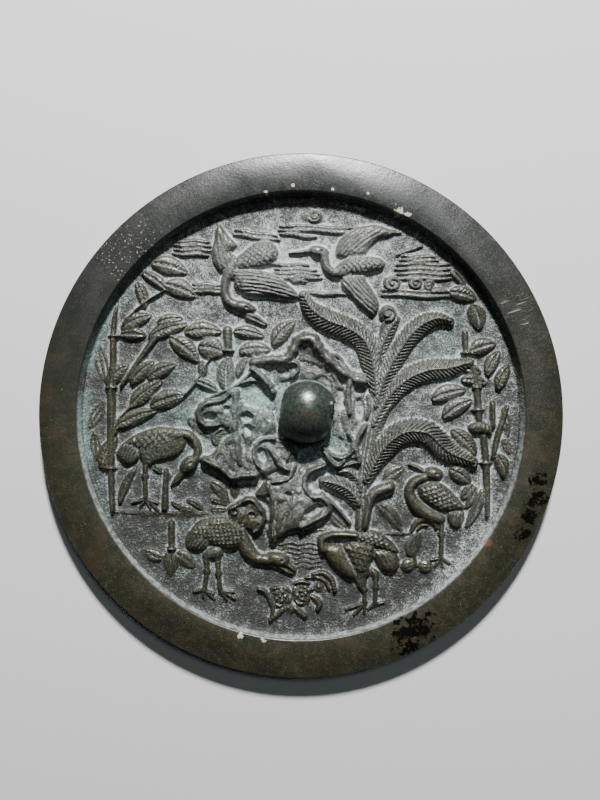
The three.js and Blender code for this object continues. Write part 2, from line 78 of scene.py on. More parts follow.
# The knob's worn outline from above: degrees, and its reach against the round knob's
KNOB_OUTLINE = (
    (-175, 0.93), (-163, 1.0), (-150, 1.06), (-138, 1.07), (-121, 1.05), (-95, 1.03), (-70, 1.04),
    (-52, 1.03), (-40, 1.0), (-30, 0.95), (-23, 0.89), (-16, 0.81), (-6, 0.80), (2, 0.85), (9, 0.91),
    (14, 0.97), (20, 1.01), (36, 1.02), (50, 1.03), (66, 1.04), (90, 1.05), (106, 1.05), (122, 1.03),
    (138, 1.0), (148, 0.93), (162, 0.9),
)

# Relief heights above the field
LEAF = 1.45
LEAF_SPREAD = 1.38
LEAF_STRETCH = 0.05
LEAF_BEND = 0.05
FAINT = 0.55
STALK = 1.5
FROND = 2.3
CLOUD = 0.9
ROCK = 1.0
ROCK_RIDGE = 2.9
CRANE = 2.35
LIMB = 1.15
PLANT = 0.9
GROUND = 0.5
SHELL = 1.4

# The relief is drawn as heights on a square of samples over the field
STEP = 0.2
HALF = 84.0
SAMPLES = int(2 * HALF / STEP) + 1
AXIS = np.linspace(-HALF, HALF, SAMPLES)
GRID_X, GRID_Y = np.meshgrid(AXIS, AXIS)
relief = np.zeros((SAMPLES, SAMPLES))
rng = np.random.default_rng(7)

PATH_SPACING = 0.8
BARBS_APART = 1.55
BARB_LEAN = 0.95
ROCK_FOLD = 0.25
ROCK_CREASE = 0.2
ROCK_CREASES = 5.5
ROCK_PITS = 0.2
# Wear: shares of the relief, each with the distance over which it is softened, then the ground's unevenness
WEAR = ((1.25, 0.13), (0.25, 1.0), (0.1, 4))
UNEVENNESS = 0.08


def soften(image, size):
    """The image blurred over a distance of size millimetres."""
    waves = 2 * math.pi * np.fft.fftfreq(SAMPLES, STEP)
    keep = np.exp(-0.5 * (waves * size) ** 2)
    return np.real(np.fft.ifft2(np.fft.fft2(image) * keep[:, None] * keep[None, :]))


def cloudy(size):
    """Soft random hills of about the given size, from -2 to 2 or so."""
    hills = soften(rng.standard_normal((SAMPLES, SAMPLES)), size)
    return hills / hills.std()


def window(xs, ys, margin):
    """The samples around some points: their place in the relief, and the x and y of each."""
    def reach(values):
        ends = (min(values) - margin, max(values) + margin)
        return [int(np.clip((end + HALF) / STEP, 0, SAMPLES - 1)) for end in ends]
    (left, right), (bottom, top) = reach(xs), reach(ys)
    place = np.s_[bottom:top + 1, left:right + 1]
    return place, GRID_X[place], GRID_Y[place]


def raise_to(place, height):
    relief[place] = np.maximum(relief[place], height)


def smooth(points, closed=False):
    """Closely spaced points on a smooth curve through the given ones (x, y, x, y and so on, or pairs)."""
    known = list(np.reshape(np.array(points, float), (-1, 2)))
    if closed:
        known = [known[-1], *known, known[0], known[1]]
    else:
        known = [2 * known[0] - known[1], *known, 2 * known[-1] - known[-2]]
    path = []
    for a, b, c, d in zip(known, known[1:], known[2:], known[3:]):
        count = max(2, int(np.hypot(*(c - b)) / PATH_SPACING))
        for k in range(count):
            t = k / count
            square = (2 * a - 5 * b + 4 * c - d) * t * t
            cube = (3 * b - a - 3 * c + d) * t ** 3
            path.append(0.5 * (2 * b + (c - a) * t + square + cube))
    path.append(known[-2])
    return path


def along(path, x, y):
    """How far along a path each sample lies, how far beside it, and the path's length."""
    best = np.full(x.shape, 1e9)
    run, beside = np.zeros(x.shape), np.zeros(x.shape)
    start = 0.0
    for (x0, y0), (x1, y1) in zip(path, path[1:]):
        dx, dy = x1 - x0, y1 - y0
        length = math.hypot(dx, dy)
        t = np.clip(((x - x0) * dx + (y - y0) * dy) / length ** 2, 0, 1)
        away = np.hypot(x - x0 - t * dx, y - y0 - t * dy)
        near = away < best
        best = np.where(near, away, best)
        run = np.where(near, start + t * length, run)
        side = np.sign(dx * (y - y0) - dy * (x - x0))
        beside = np.where(near, away * side, beside)
        start += length
    return run, beside, start


def sweep(points, halves, height, fullness=0.5, ribs=0.0, ribs_apart=1.0, groove=0.0):
    """A rounded ridge through the points. halves are its half-widths from end to end."""
    path = smooth(points)
    halves = np.atleast_1d(halves)
    place, x, y = window(*zip(*path), max(halves) + 0.4)
    run, beside, length = along(path, x, y)
    half = np.interp(run / length, np.linspace(0, 1, len(halves)), halves)
    rise = np.clip(1 - (beside / half) ** 2, 0, 1) ** fullness
    rise = rise * (1 - ribs * (0.5 + 0.5 * np.cos(2 * math.pi * run / ribs_apart)))
    rise = rise * (1 - groove * np.exp(-(beside / 0.3) ** 2))
    raise_to(place, height * rise)


def leaf(x0, y0, x1, y1, width, height=LEAF):
    """A leaf from root to tip: two swollen halves with a groove between, and fine veins."""
    dx, dy = LEAF_STRETCH * (x1 - x0), LEAF_STRETCH * (y1 - y0)
    x0, y0, x1, y1 = x0 - dx, y0 - dy, x1 + dx, y1 + dy
    length = math.hypot(x1 - x0, y1 - y0)
    cosine, sine = (x1 - x0) / length, (y1 - y0) / length
    place, x, y = window((x0, x1), (y0, y1), width)
    along_mm = (x - x0) * cosine + (y - y0) * sine
    u = np.clip(along_mm / length, 0, 1)
    v = (y - y0) * cosine - (x - x0) * sine - LEAF_BEND * length * 4 * u * (1 - u)
    half = LEAF_SPREAD * width / 2 * np.sin(math.pi * u ** 0.85) ** 0.65 + 1e-3
    body = np.clip(1 - np.abs(v / half) ** 2.6, 0, 1) ** 0.5
    body = body * ((along_mm > 0) & (along_mm < length))
    groove = 1 - 0.42 * np.exp(-(v / 0.36) ** 2)
    veins = 1 + 0.09 * np.cos(2 * math.pi * (along_mm - 0.8 * np.abs(v)) / 1.5)
    raise_to(place, height * body * groove * veins * (1 - 0.25 * u))


def faint_leaf(x0, y0, x1, y1, width):
    """A leaf that only its worn outline and midrib show."""
    ts = np.linspace(0.02, 0.98, 9)
    dx, dy = x1 - x0, y1 - y0
    for side in (-1, 0, 1):
        off = side * width / 2 * np.sin(math.pi * ts) ** 0.8 / math.hypot(dx, dy)
        points = np.stack([x0 + dx * ts - dy * off, y0 + dy * ts + dx * off], 1)
        sweep(points, [0.4, 0.6, 0.6, 0.4], FAINT)


def frond(half, points, height):
    """A palm frond: a round midrib, and close barbs that run out from it towards the tip."""
    path = smooth(points)
    place, x, y = window(*zip(*path), half + 0.6)
    run, beside, length = along(path, x, y)
    t, side = run / length, np.abs(beside)
    reach = half * np.minimum(1, 0.4 + 2.4 * t) * np.minimum(1, 0.42 + 2.6 * (1 - t))
    barb = 0.5 + 0.5 * np.cos(2 * math.pi * (run - BARB_LEAN * side) / BARBS_APART)
    edge = reach * (0.88 + 0.12 * barb)
    blade = np.clip(1 - (side / edge) ** 5, 0, 1) ** 0.5
    rise = height * blade * (1 - 0.42 * (1 - barb) ** 2.5) * (1 - 0.3 * side / half)
    rib = height * 1.05 * np.sqrt(np.clip(1 - (beside / 0.65) ** 2, 0, 1))
    raise_to(place, np.maximum(rise, rib))


def inside(path, x, y):
    """Which samples lie within a closed path."""
    within = np.zeros(x.shape, bool)
    for (x0, y0), (x1, y1) in zip(path, path[1:]):
        if y0 != y1:
            within ^= ((y0 > y) != (y1 > y)) & (x < x0 + (y - y0) * (x1 - x0) / (y1 - y0))
    return within


def turned(x, y, centre, heading):
    """Distances along and across a heading, from a centre."""
    turn = math.radians(heading)
    dx, dy = x - centre[0], y - centre[1]
    return dx * math.cos(turn) + dy * math.sin(turn), dy * math.cos(turn) - dx * math.sin(turn)


def scales(pitch, depth=0.38):
    """A skin of small overlapping feathers, each highest at its free edge."""
    def skin(along_mm, across_mm):
        best = np.zeros(along_mm.shape)
        for shift in (0.0, 0.5):
            row = along_mm / pitch + shift
            column = across_mm / (pitch * 1.15) + shift
            beside = 2 * (column - np.floor(column)) - 1
            lap = row + 0.42 * beside ** 2
            best = np.maximum(best, (1 - lap + np.floor(lap)) * (1 - 0.75 * beside ** 4))
        return 1 - depth + depth * best
    return skin


def quills(pitch, depth=0.4, bow=0.0):
    """A skin of long feathers side by side. bow bends them."""
    def skin(along_mm, across_mm):
        across = across_mm + bow * along_mm ** 2
        wobble = 0.12 * np.sin(along_mm * 0.9 + 2.0 * np.floor(across / pitch))
        return 1 - depth * (1 - np.abs(np.cos(math.pi * (across + wobble) / pitch)) ** 0.6)
    return skin


def petals(count, pitch, depth=0.6):
    """A skin of petals around a middle, in rings."""
    def skin(along_mm, across_mm):
        away = np.hypot(along_mm, across_mm)
        turns = np.arctan2(across_mm, along_mm) * count + 2.0 * np.floor(away / pitch + 0.5)
        between = 0.5 - 0.5 * np.cos(turns)
        ring = 0.5 - 0.5 * np.cos(2 * math.pi * away / pitch)
        return 1 - depth * np.maximum(ring, between * np.clip(away / pitch, 0, 1))
    return skin


def pad(points, height, edge=2.0, skin=None, heading=0.0):
    """A raised form inside a closed outline, rounded down to its edge, plain or with a skin."""
    path = smooth(points, closed=True)
    place, x, y = window(*zip(*path), 0.4)
    depth = np.abs(along(path, x, y)[1]) * inside(path, x, y)
    share = np.clip(depth / edge, 0, 1)
    rise = np.sqrt(1 - (1 - share) ** 2) * (0.8 + 0.2 * np.clip(depth / (2.5 * edge), 0, 1))
    if skin:
        rise = rise * skin(*turned(x, y, np.mean(path, 0), heading))
    raise_to(place, height * rise)


def oval(x0, y0, length, width, heading, height, skin=None, fullness=0.42):
    """A low oval dome, plain or with a skin."""
    place, x, y = window((x0,), (y0,), max(length, width) / 2 + 0.4)
    along_mm, across_mm = turned(x, y, (x0, y0), heading)
    q = (2 * along_mm / length) ** 2 + (2 * across_mm / width) ** 2
    rise = np.clip(1 - q, 0, 1) ** fullness
    if skin:
        rise = rise * skin(along_mm, across_mm)
    raise_to(place, height * rise)


def press(x0, y0, length, width, heading, floor, soft=0.35):
    """A hollow: the relief goes down to the floor inside an oval."""
    place, x, y = window((x0,), (y0,), max(length, width) / 2 * (1 + soft) + 0.4)
    along_mm, across_mm = turned(x, y, (x0, y0), heading)
    q = np.hypot(2 * along_mm / length, 2 * across_mm / width)
    share = np.clip((q - 1) / soft + 0.5, 0, 1)
    share = share * share * (3 - 2 * share)
    relief[place] = relief[place] * share + np.minimum(relief[place], floor) * (1 - share)


def wavy(x0, y0, x1, y1, half, height, swing=0.25, turns=1.5):
    """A thin line that sways a little from side to side."""
    ts = np.linspace(0, 1, 9)
    sway = swing * np.sin(2 * math.pi * turns * ts + x0)
    points = [(x0 + (x1 - x0) * t, y0 + (y1 - y0) * t + s) for t, s in zip(ts, sway)]
    sweep(points, [half * 0.4, half, half, half, half * 0.4], height)


def curl(x0, y0, radius, height, turns=1.4, start=0.0, half=0.6):
    """A spiral ridge on a low dome."""
    oval(x0, y0, 2 * radius, 2 * radius * 0.9, 0, height * 0.7)
    points = []
    for s in np.linspace(0, 1, 16):
        angle = start + 2 * math.pi * turns * s
        reach = radius * (0.95 - 0.75 * s)
        points.append((x0 + reach * math.cos(angle), y0 + 0.85 * reach * math.sin(angle)))
    sweep(points, [half * 0.8, half, half], height * 1.3)


def clouds():
    banks = [
        ((-48, 66), (-35, 65.8), 4, 1.7), ((-41, 49.6), (-31, 49.2), 3, 1.3),
        ((-25, 70), (-9, 67.8), 2, 1.6), ((-8, 71.8), (22, 70.6), 2, 1.5), ((-8, 69), (6, 67.2), 1, 0),
        ((27, 69.4), (38, 69.2), 1, 0), ((-12, 57), (3, 56.8), 1, 0), ((-10, 55.3), (6, 55), 3, 1.5),
        ((-4, 51), (2, 50.8), 1, 0), ((0, 46.4), (17, 45.7), 1, 0), ((38, 60.2), (51, 59.8), 2, 1.5),
        ((36, 57.2), (57, 57), 4, 1.8), ((31, 47.4), (57, 46.5), 2, 1.8),
    ]
    for (x0, y0), (x1, y1), count, step in banks:
        for i in range(count):
            wavy(x0 - 0.6 * (i % 2), y0 - step * i, x1 + (i % 3), y1 - step * i, 0.95, CLOUD)
    curl(34.8, 50, 3.6, CLOUD * 1.2, start=2.5)
    curl(43.5, 50, 2.9, CLOUD * 1.2, start=2.5)
    curl(48.4, 48.9, 2.3, CLOUD, start=0.5)
    oval(4.2, 75.1, 9.4, 5.6, 0, CLOUD * 0.9)
    curl(5.2, 75.3, 2.8, CLOUD * 1.1, start=3.5)
    oval(44, 47.8, 24, 3.4, -3, CLOUD * 0.6)
    sweep([36,60.5, 41,62.5, 46,64], [0.4, 1.0, 0.4], CLOUD)


def bamboo():
    """Both thickets: canes with joints, and leaves."""
    canes = [
        ([-70,42, -71,30, -71,19], [0.8, 1.3, 1.4]),
        ([-71,19, -71.8,10.5, -71.7,0, -72,-20], [1.5, 1.8, 1.7, 1.5]),
        ([-72,-20, -71.3,-36], [1.4, 1.1]),
        ([-68,11, -62,19.5, -55,29.5], [0.7, 1.2, 1.5]),
        ([-27.8,32, -27.5,25.5], [1.9, 1.7]),
        ([62,31, 62.3,24.5], [1.4, 1.2]),
        ([66.5,11, 67.3,-2], [1.6, 1.5]),
        ([69,-8, 70,-18, 70.3,-28, 70.7,-38], [1.5, 1.5, 1.4, 1.1]),
        ([72.5,4.5, 72.5,-4], [1.2, 1.3]),
        ([78,3, 75,-6, 72.5,-16], [1, 1.3, 1.1]),
        ([-51,-21, -51.5,-35], [1, 1.5]),
        ([-49,-41, -49,-50.5], [1.3, 1.3]),
        ([-64,3.5, -69,-2, -70,-7], [0.5, 0.6, 0.5]),
        ([-52,47, -60,42, -66,36], [0.4, 0.5, 0.4]),
        ([-44,7.5, -40,12, -34,22], [0.4, 0.5, 0.4]),
        ([62.5,23, 65,17, 66.5,11], [0.5, 0.7, 0.8]),
    ]
    for points, halves in canes:
        sweep(points, halves, STALK, 0.45)
    for x, y, half in (
        (-71.8, 10.5, 2.6), (-72, -20, 2.1), (-27.5, 24.4, 2.4), (62.4, 23.6, 2.1), (66.6, 10.5, 2.1),
        (67, 2, 2.1), (70, -18, 2), (-49, -50.5, 1.7), (-70.5, 30, 1.8),
    ):
        sweep([(x - half * 0.7, y), (x + half * 0.7, y)], [0.55, 0.65, 0.55], STALK * 1.25)
    pad([63,-4.5, 65,-2.8, 69,-2.4, 71.6,-4, 72.3,-7.6, 70.4,-7.4, 67,-7.2, 64.6,-7.2], STALK * 1.5, 1.6,
        quills(1.3, 0.25), 80)
    for place in (
        (-56, 57.5, -43.5, 54, 5.5), (-60, 54, -50, 46.7, 3.3), (-51, 49.5, -40.3, 45, 5.5),
        (-62, 50, -59, 40.5, 3.5), (-67.5, 33, -57, 37.5, 4.5), (-68, 30.5, -59, 30, 4.2),
        (-54, 35, -45, 36.5, 3.5), (-57, 29.5, -43.3, 34.3, 4.5), (-49, 29, -39, 20.5, 5.5),
        (-43.5, 31.5, -30.5, 31.5, 5), (-38.5, 26, -29, 23.5, 6.5), (-73, 11.5, -65.5, 19, 4.5),
        (-64, 12, -56, 20, 4.5), (-57.5, 14, -48, 19, 4.5), (-64, 3.5, -53, 12.5, 5),
        (-56.5, 3.5, -44, 7.5, 5.5), (-69.5, -4.5, -55, 1.5, 4.6), (-75.3, -19.5, -70, -8.5, 4.8),
        (-68.5, -33, -62.5, -20, 2.6), (-28, 10, -27.5, 22, 5.5), (-25, 31.8, -14.3, 29.8, 3.8),
        (-23, 24.3, -11.8, 24.8, 4.5), (-10.5, 27, -2.5, 35.5, 5), (-40, 13, -31.5, 9, 3),
        (-37.5, 20.5, -37.5, 14, 3), (-24, 15, -20.5, 22, 2.8), (57, 54.5, 62, 49, 3),
        (56.5, 46.5, 66, 44, 5), (65, 41.5, 67.5, 32.5, 5.5), (64, 24, 73.5, 27, 5),
        (70.5, 15.5, 75, 24, 4), (74.5, 10, 79, 19, 4), (62, 17.5, 68, 16, 3.5), (61, 13.5, 70, 12, 3.5),
        (50, 6.2, 62, 9.5, 5), (54, -0.5, 64.5, 5.5, 5), (57.4, -6, 66, -14.8, 5),
        (56.5, -20.5, 64, -25.5, 5), (65, -26.5, 60.5, -31.5, 3.4), (66, -27.5, 62.3, -35, 2.8),
        (68.5, -28.5, 62.5, -42, 3.2), (74, -15, 78, -24.5, 4.5),
    ):
        leaf(*place)
    for place in (
        (-77, 27, -73.8, 12, 4), (-80.4, -5, -74.4, 5.4, 3.6), (-78.4, -6, -77.2, -17, 3.2),
        (76.5, -9, 79.5, -14.5, 2.6), (76.4, 3, 78.6, -8, 2.8),
    ):
        faint_leaf(*place)


def small_plants():
    for place in (
        (-42.5, -2, -31.5, -9, 4.8), (-34, -25.5, -28, -31, 3.6), (-34, -32, -28, -34, 2),
        (-34, -36, -28, -36, 2), (-26, -25, -25, -31.5, 3), (-49, -33, -43, -37, 2),
        (-43, -32, -37, -36, 2), (-52.5, -54, -59.5, -51.3, 3.6), (-50, -52, -49.5, -60.5, 4.8),
        (-47, -52.5, -40.5, -57.5, 4.4), (31.5, -25, 39, -20, 4), (29.5, -34, 38, -43.5, 4),
        (17, -43, 11, -37, 3), (41, -53, 45, -45, 5), (-56, -19.5, -52.5, -22, 2.2),
        (-51.5, -21.5, -50, -25, 2.2), (-33, -28, -27, -33.5, 2.4), (-46, -35, -40, -36.4, 1.8),
    ):
        leaf(*place, PLANT)
    oval(40.5, -57, 6.2, 5, 20, PLANT * 1.2, quills(1.3, 0.3))
    oval(47, -57.3, 6, 5.2, 0, PLANT * 1.2, quills(1.3, 0.3))
    sweep([44.5,-45, 43,-52, 43.5,-57], [0.6, 0.8, 0.6], PLANT)


def palm():
    sweep([22.5,-43, 22.5,-38, 22.5,-33], [2.2, 2, 1.6], STALK * 1.1, 0.4, groove=0.3)
    sweep([24,-42, 25.3,-34, 27.5,-29.5, 33.5,-27], [1.8, 2, 2.3, 2.3], STALK * 1.6, 0.45)
    for shift in (-1.5, 0.0, 1.5):
        points = [(22.5 + shift, -31), (24.5 + shift, -15), (27 + shift * 0.8, 0), (28 + shift * 0.6, 10)]
        sweep(points, [0.7, 0.75, 0.7, 0.5], STALK)
    for half, points, share in (
        (2.4, [22.5,-29, 21,-24, 17.5,-21, 14.5,-21.5], 0.8),
        (3.6, [22,-34, 19,-29, 14,-26, 8,-24.6], 0.95),
        (4.4, [27,-4, 33,7, 40,13.6, 48,17, 55,17.7, 60,19, 64,20], 0.9),
        (3, [28.5,12, 30,24, 33,31.5, 36.5,36.5], 0.8),
        (4, [28,3, 32,15, 37,24, 42,31, 47,35, 52,36.5, 56.5,35.5], 1),
        (4.8, [28,8, 27.3,18, 24,28, 17,33, 10,35.8, 4,40, 0.8,45.5], 1.05),
        (5, [25,-24, 29,-15.5, 34,-9.5, 40,-6.2, 47,-6.5, 51,-9.5, 56,-14, 65,-17.7], 1.1),
        (2.2, [26,-20, 27.5,-10, 30,-2, 34,4], 0.7),
    ):
        frond(half, points, FROND * share)
    sweep([31,28, 31.5,33, 33.4,36], [1.2, 1.6, 1.6], LEAF)
    oval(32.8, 38.3, 7.2, 7.2, 0, LEAF * 1.35)
    curl(32.8, 38.3, 3.3, LEAF * 1.3, 1.3, 4.5, 0.8)


def neck(points, halves):
    sweep(points, halves, CRANE * 0.85, 0.5, ribs=0.07)


def crane_head(x, y, length, width, heading, *beak):
    oval(x, y, length, width, heading, CRANE, fullness=0.5)
    for points, half in beak:
        sweep(points, [half, half * 0.85, half * 0.4], LIMB * 1.15, 0.45)
    turn, forward = math.radians(heading), 0.14 * length
    press(x + forward * math.cos(turn), y + forward * math.sin(turn), 1.0, 0.9, 0, CRANE * 0.6, 0.5)


def leg(points, half=1.0):
    sweep(points, [half * 1.5, half, half * 0.9, half], LIMB * 1.1, 0.45)
    knee = points[2:4]
    oval(knee[0], knee[1], half * 3, half * 2.6, 0, LIMB * 1.2)


def toes(foot, tips):
    for tip in np.reshape(tips, (-1, 2)):
        sweep([*foot, *tip], [0.85, 0.7, 0.45], PLANT)


def flying_crane_left():
    pad([-31,72.3, -32.5,69.5, -32.9,66, -34,62.5, -33.8,59, -32.5,56.2, -30.5,54.2, -27.6,54.2, -25,57,
        -24.4,60.2, -26.4,61.6, -24,64, -26,66.6, -28.5,69.5], CRANE * 0.9, 2.4, quills(1.7, 0.22, 0.012),
        100)
    pad([-24.6,60, -22,61.8, -20,63.6, -17.5,65.3, -14,66, -11,65.6, -9,63.6, -8.4,61.2, -9.3,58.8,
        -11.5,57.2, -15,56, -19,55.2, -23,54.8, -26.5,55, -28,57.5], CRANE * 1.05, 2.6, scales(2.1), 190)
    pad([-26.8,54.8, -25.2,50.5, -24,48.3, -22.5,46.3, -20.5,45.1, -17,44.8, -12,44.6, -7,44.1, -2.4,43.8,
        -0.3,44.6, -1.2,46.4, -3,48.2, -6,50.8, -8.8,52.9, -12,54.2, -16,55, -21,55.4], CRANE, 2,
        quills(1.35, 0.42, 0.008), -9)
    oval(-22.4, 50.6, 6, 8, -20, CRANE * 1.02, scales(1.9))
    neck([-26.4,55.5, -28.5,50.5, -28.7,46, -27,42.8, -24,41.4], [2.6, 2, 1.8, 2, 2.2])
    crane_head(-22, 41, 10.4, 4.6, -14, ([-20.5,38.2, -16.6,37, -13,34.4], 1.0), ([-20.5,37, -16.6,35.4,
        -13.6,34], 0.8))


def flying_crane_right():
    pad([13.4,60.2, 13.2,63.5, 15,67, 18.5,69.8, 23,71.5, 28,72.2, 32,71.2, 36,69.2, 33.2,67.4, 29.8,66.6,
        27.2,64.6, 25.4,62, 24,59.8, 18,59.4], CRANE * 0.85, 2.6, quills(1.5, 0.3, 0.012), 36)
    pad([15.6,52.6, 15,50, 15.3,48, 17,46, 19,44.2, 21.5,41.6, 24.5,38.8, 27,37.4, 29,39, 29.8,41.5,
        28.8,44.5, 27,47.8, 25,50.6, 24,53, 20,53], CRANE * 0.95, 2, quills(1.35, 0.42, -0.008), -46)
    pad([12.5,55.8, 15.6,58.4, 19,60, 24,60.3, 28.5,60, 31,58.8, 32,57, 31,55.2, 28,54.3, 24,53.4, 19,52.8,
        15,52.7, 12.2,53.6], CRANE * 1.1, 2.4, scales(2.1), 180)
    neck([17,54.4, 12.6,53.9, 9.7,56.2, 8.6,60.5], [2.4, 2, 1.8, 1.9])
    crane_head(6.8, 62, 8.2, 4.6, -12, ([4,62.4, -0.5,61.6, -4.4,61.2], 0.95))


def standing_crane_left():
    pad([-62,-13, -61,-16, -59.5,-18.6, -57,-19.6, -55,-18, -51,-16.9, -47,-15.5, -44,-12.5, -43.4,-9.5,
        -45.5,-6, -50,-4.5, -56,-8], CRANE * 0.75, 2)
    pad([-70,-15, -68.5,-11.8, -66,-9.8, -63.5,-11, -61.4,-13, -61,-15.5, -62,-17.6, -64.5,-18.8,
        -66.5,-18.6, -68.6,-16.8], CRANE * 0.85, 1.6, quills(1.15, 0.5, 0.02), 70)
    pad([-66.5,-10.2, -62,-7, -57,-5, -52,-4.2, -48.6,-5.4, -47.8,-8.5, -49,-12, -52,-13.9, -56,-14.4,
        -60,-13.6, -63.5,-12], CRANE * 1.05, 2.6, scales(2.6, 0.34), 175)
    neck([-48,-7.4, -43,-7.2, -40,-9.8, -38.9,-13.5, -40.2,-17], [2.6, 2, 1.8, 1.7, 1.8])
    crane_head(-42.4, -18.8, 9, 6, 48, ([-44.6,-21.4, -46.8,-23.6, -49,-26.6], 1.1), ([-44.4,-22, -45.8,-24,
        -47.4,-25.6], 0.8))
    leg([-58.6,-17, -59,-23, -58.8,-31])
    toes((-58.8, -31.6), [-64,-33.2, -54.2,-33.4, -54,-36, -61,-35.2, -57,-35.6])


def standing_crane_low_left():
    pad([-44,-48, -43,-44.5, -40,-42.6, -36.5,-44, -34,-48, -36,-50.8, -40,-51.6, -43,-50.8], CRANE * 0.85,
        2.2, quills(1.3, 0.35, 0.02), 50)
    pad([-42.5,-45, -40,-41, -36,-38.8, -31,-38, -26,-38.6, -22,-41, -20,-44.2, -20.4,-47, -22.5,-49.3,
        -25.5,-50.8, -29.5,-50.6, -33,-49.4, -36.5,-47.6, -40,-46.8], CRANE * 1.1, 3, scales(2.0, 0.42),
        232)
    pad([-37,-52.6, -35,-50, -31.5,-49.4, -29.3,-51.5, -30.3,-54, -34,-54.6, -36.8,-54.4], CRANE * 0.75,
        1.6)
    neck([-22,-46.5, -20.3,-50.8, -16.8,-54, -11.8,-54.8], [2.6, 3, 2.4, 2.1])
    crane_head(-8.8, -54.4, 10, 5.6, -14, ([-6.6,-55.8, -4.2,-57, -2.2,-59], 1.3), ([-8,-57.4, -5.6,-58.8,
        -3,-60], 0.9))
    leg([-36,-53, -35.6,-59, -36.6,-66])
    leg([-31.6,-53.5, -31.2,-60, -30.6,-66], 0.95)
    toes((-36.8, -66), [-40.6,-66.8, -37,-69, -32.6,-69.6, -33,-67.6])
    toes((-30.4, -66.4), [-25.4,-67, -24.8,-69.6, -28,-70])


def preening_crane():
    pad([7,-48.6, 8.6,-53, 11.5,-57, 15,-60.2, 18.5,-62.4, 21,-61, 20.4,-58, 18.6,-55, 17,-51.5, 15,-48.6,
        11,-48.2, 9,-47.4], CRANE * 1.1, 3.4)
    pad([27,-51, 30,-50.2, 34,-50.6, 36.9,-53.5, 37.4,-56.5, 36,-59.2, 33,-59.8, 30.5,-58.8, 28.2,-55.5],
        CRANE, 2.8, quills(1.6, 0.15), -60)
    pad([19.6,-59.6, 26,-57.6, 26,-60.8, 23.6,-62, 24,-64.2, 22.6,-66.4, 20.8,-64], CRANE * 0.75, 1.5,
        quills(1.3, 0.3), 90)
    pad([15.3,-49.5, 18.5,-47.6, 24,-47, 28,-49.6, 27.8,-53, 26.4,-56, 25.6,-59, 21,-60.4, 19,-57,
        17.4,-53.5], CRANE * 1.1, 2.2, scales(2.7, 0.3), 115)
    pad([17.6,-46.2, 22,-43.9, 27,-43.4, 31.2,-45.2, 34.8,-48, 37,-51.6, 34,-52.2, 30,-50.8, 26,-49.8,
        21.5,-48.6], CRANE * 1.12, 2.2, scales(2.0, 0.4), 160)
    sweep([8.4,-50.5, 7.8,-47, 11,-45.2, 16,-44.9, 21,-45.2], [2, 1.7, 1.5, 1.5, 1.3], CRANE)
    pad([26.2,-57.6, 29,-58.8, 29.8,-61.4, 28.6,-62.6, 26.8,-61.6], CRANE * 0.65, 1.3)
    leg([23.8,-61, 24,-66, 24,-70.6], 0.85)
    leg([28.4,-60, 28.3,-65, 28,-71], 0.95)
    toes((24.4, -71), [17,-73.6, 20,-75.6, 24,-74.8])
    toes((27.6, -71.6), [31.6,-70.8, 25.4,-73.4])


def standing_crane_right():
    pad([55,-36.4, 60.8,-35.6, 62,-38, 60.8,-41.6, 58.3,-43, 56,-41], CRANE * 0.75, 1.4, quills(1.3, 0.5),
        82)
    neck([46.8,-23.4, 42.6,-25.4, 41,-29.3, 43.5,-34, 48,-37.4, 52.6,-39.2], [1.7, 1.9, 2.2, 2.8, 2.8, 2.2])
    pad([44,-27.4, 46.5,-25.4, 50.5,-24.6, 54,-26.2, 57.5,-29.2, 60.5,-32.4, 62,-35.4, 58,-36.4, 54,-36.6,
        50,-35.4, 46.6,-33, 44.4,-30.2], CRANE * 1.12, 2.6, scales(2.2), 150)
    crane_head(50, -22, 8, 5.2, -8, ([47.4,-21.8, 44.4,-20, 41,-18.7], 1.0))
    leg([52.8,-38.6, 53.2,-45, 53,-54])
    sweep([51.2,-42.6, 50.2,-40.6, 46.8,-39.4, 43.6,-40.8, 41.8,-44], [0.9, 1.2, 1.2, 1.1, 0.7], LIMB)
    sweep([44,-43.6, 45.6,-41.8, 48,-41.6], [0.5, 0.7, 0.5], LIMB * 0.8)
    toes((53, -54), [49,-54.8, 50.6,-57, 56.4,-56, 53.6,-57.4])


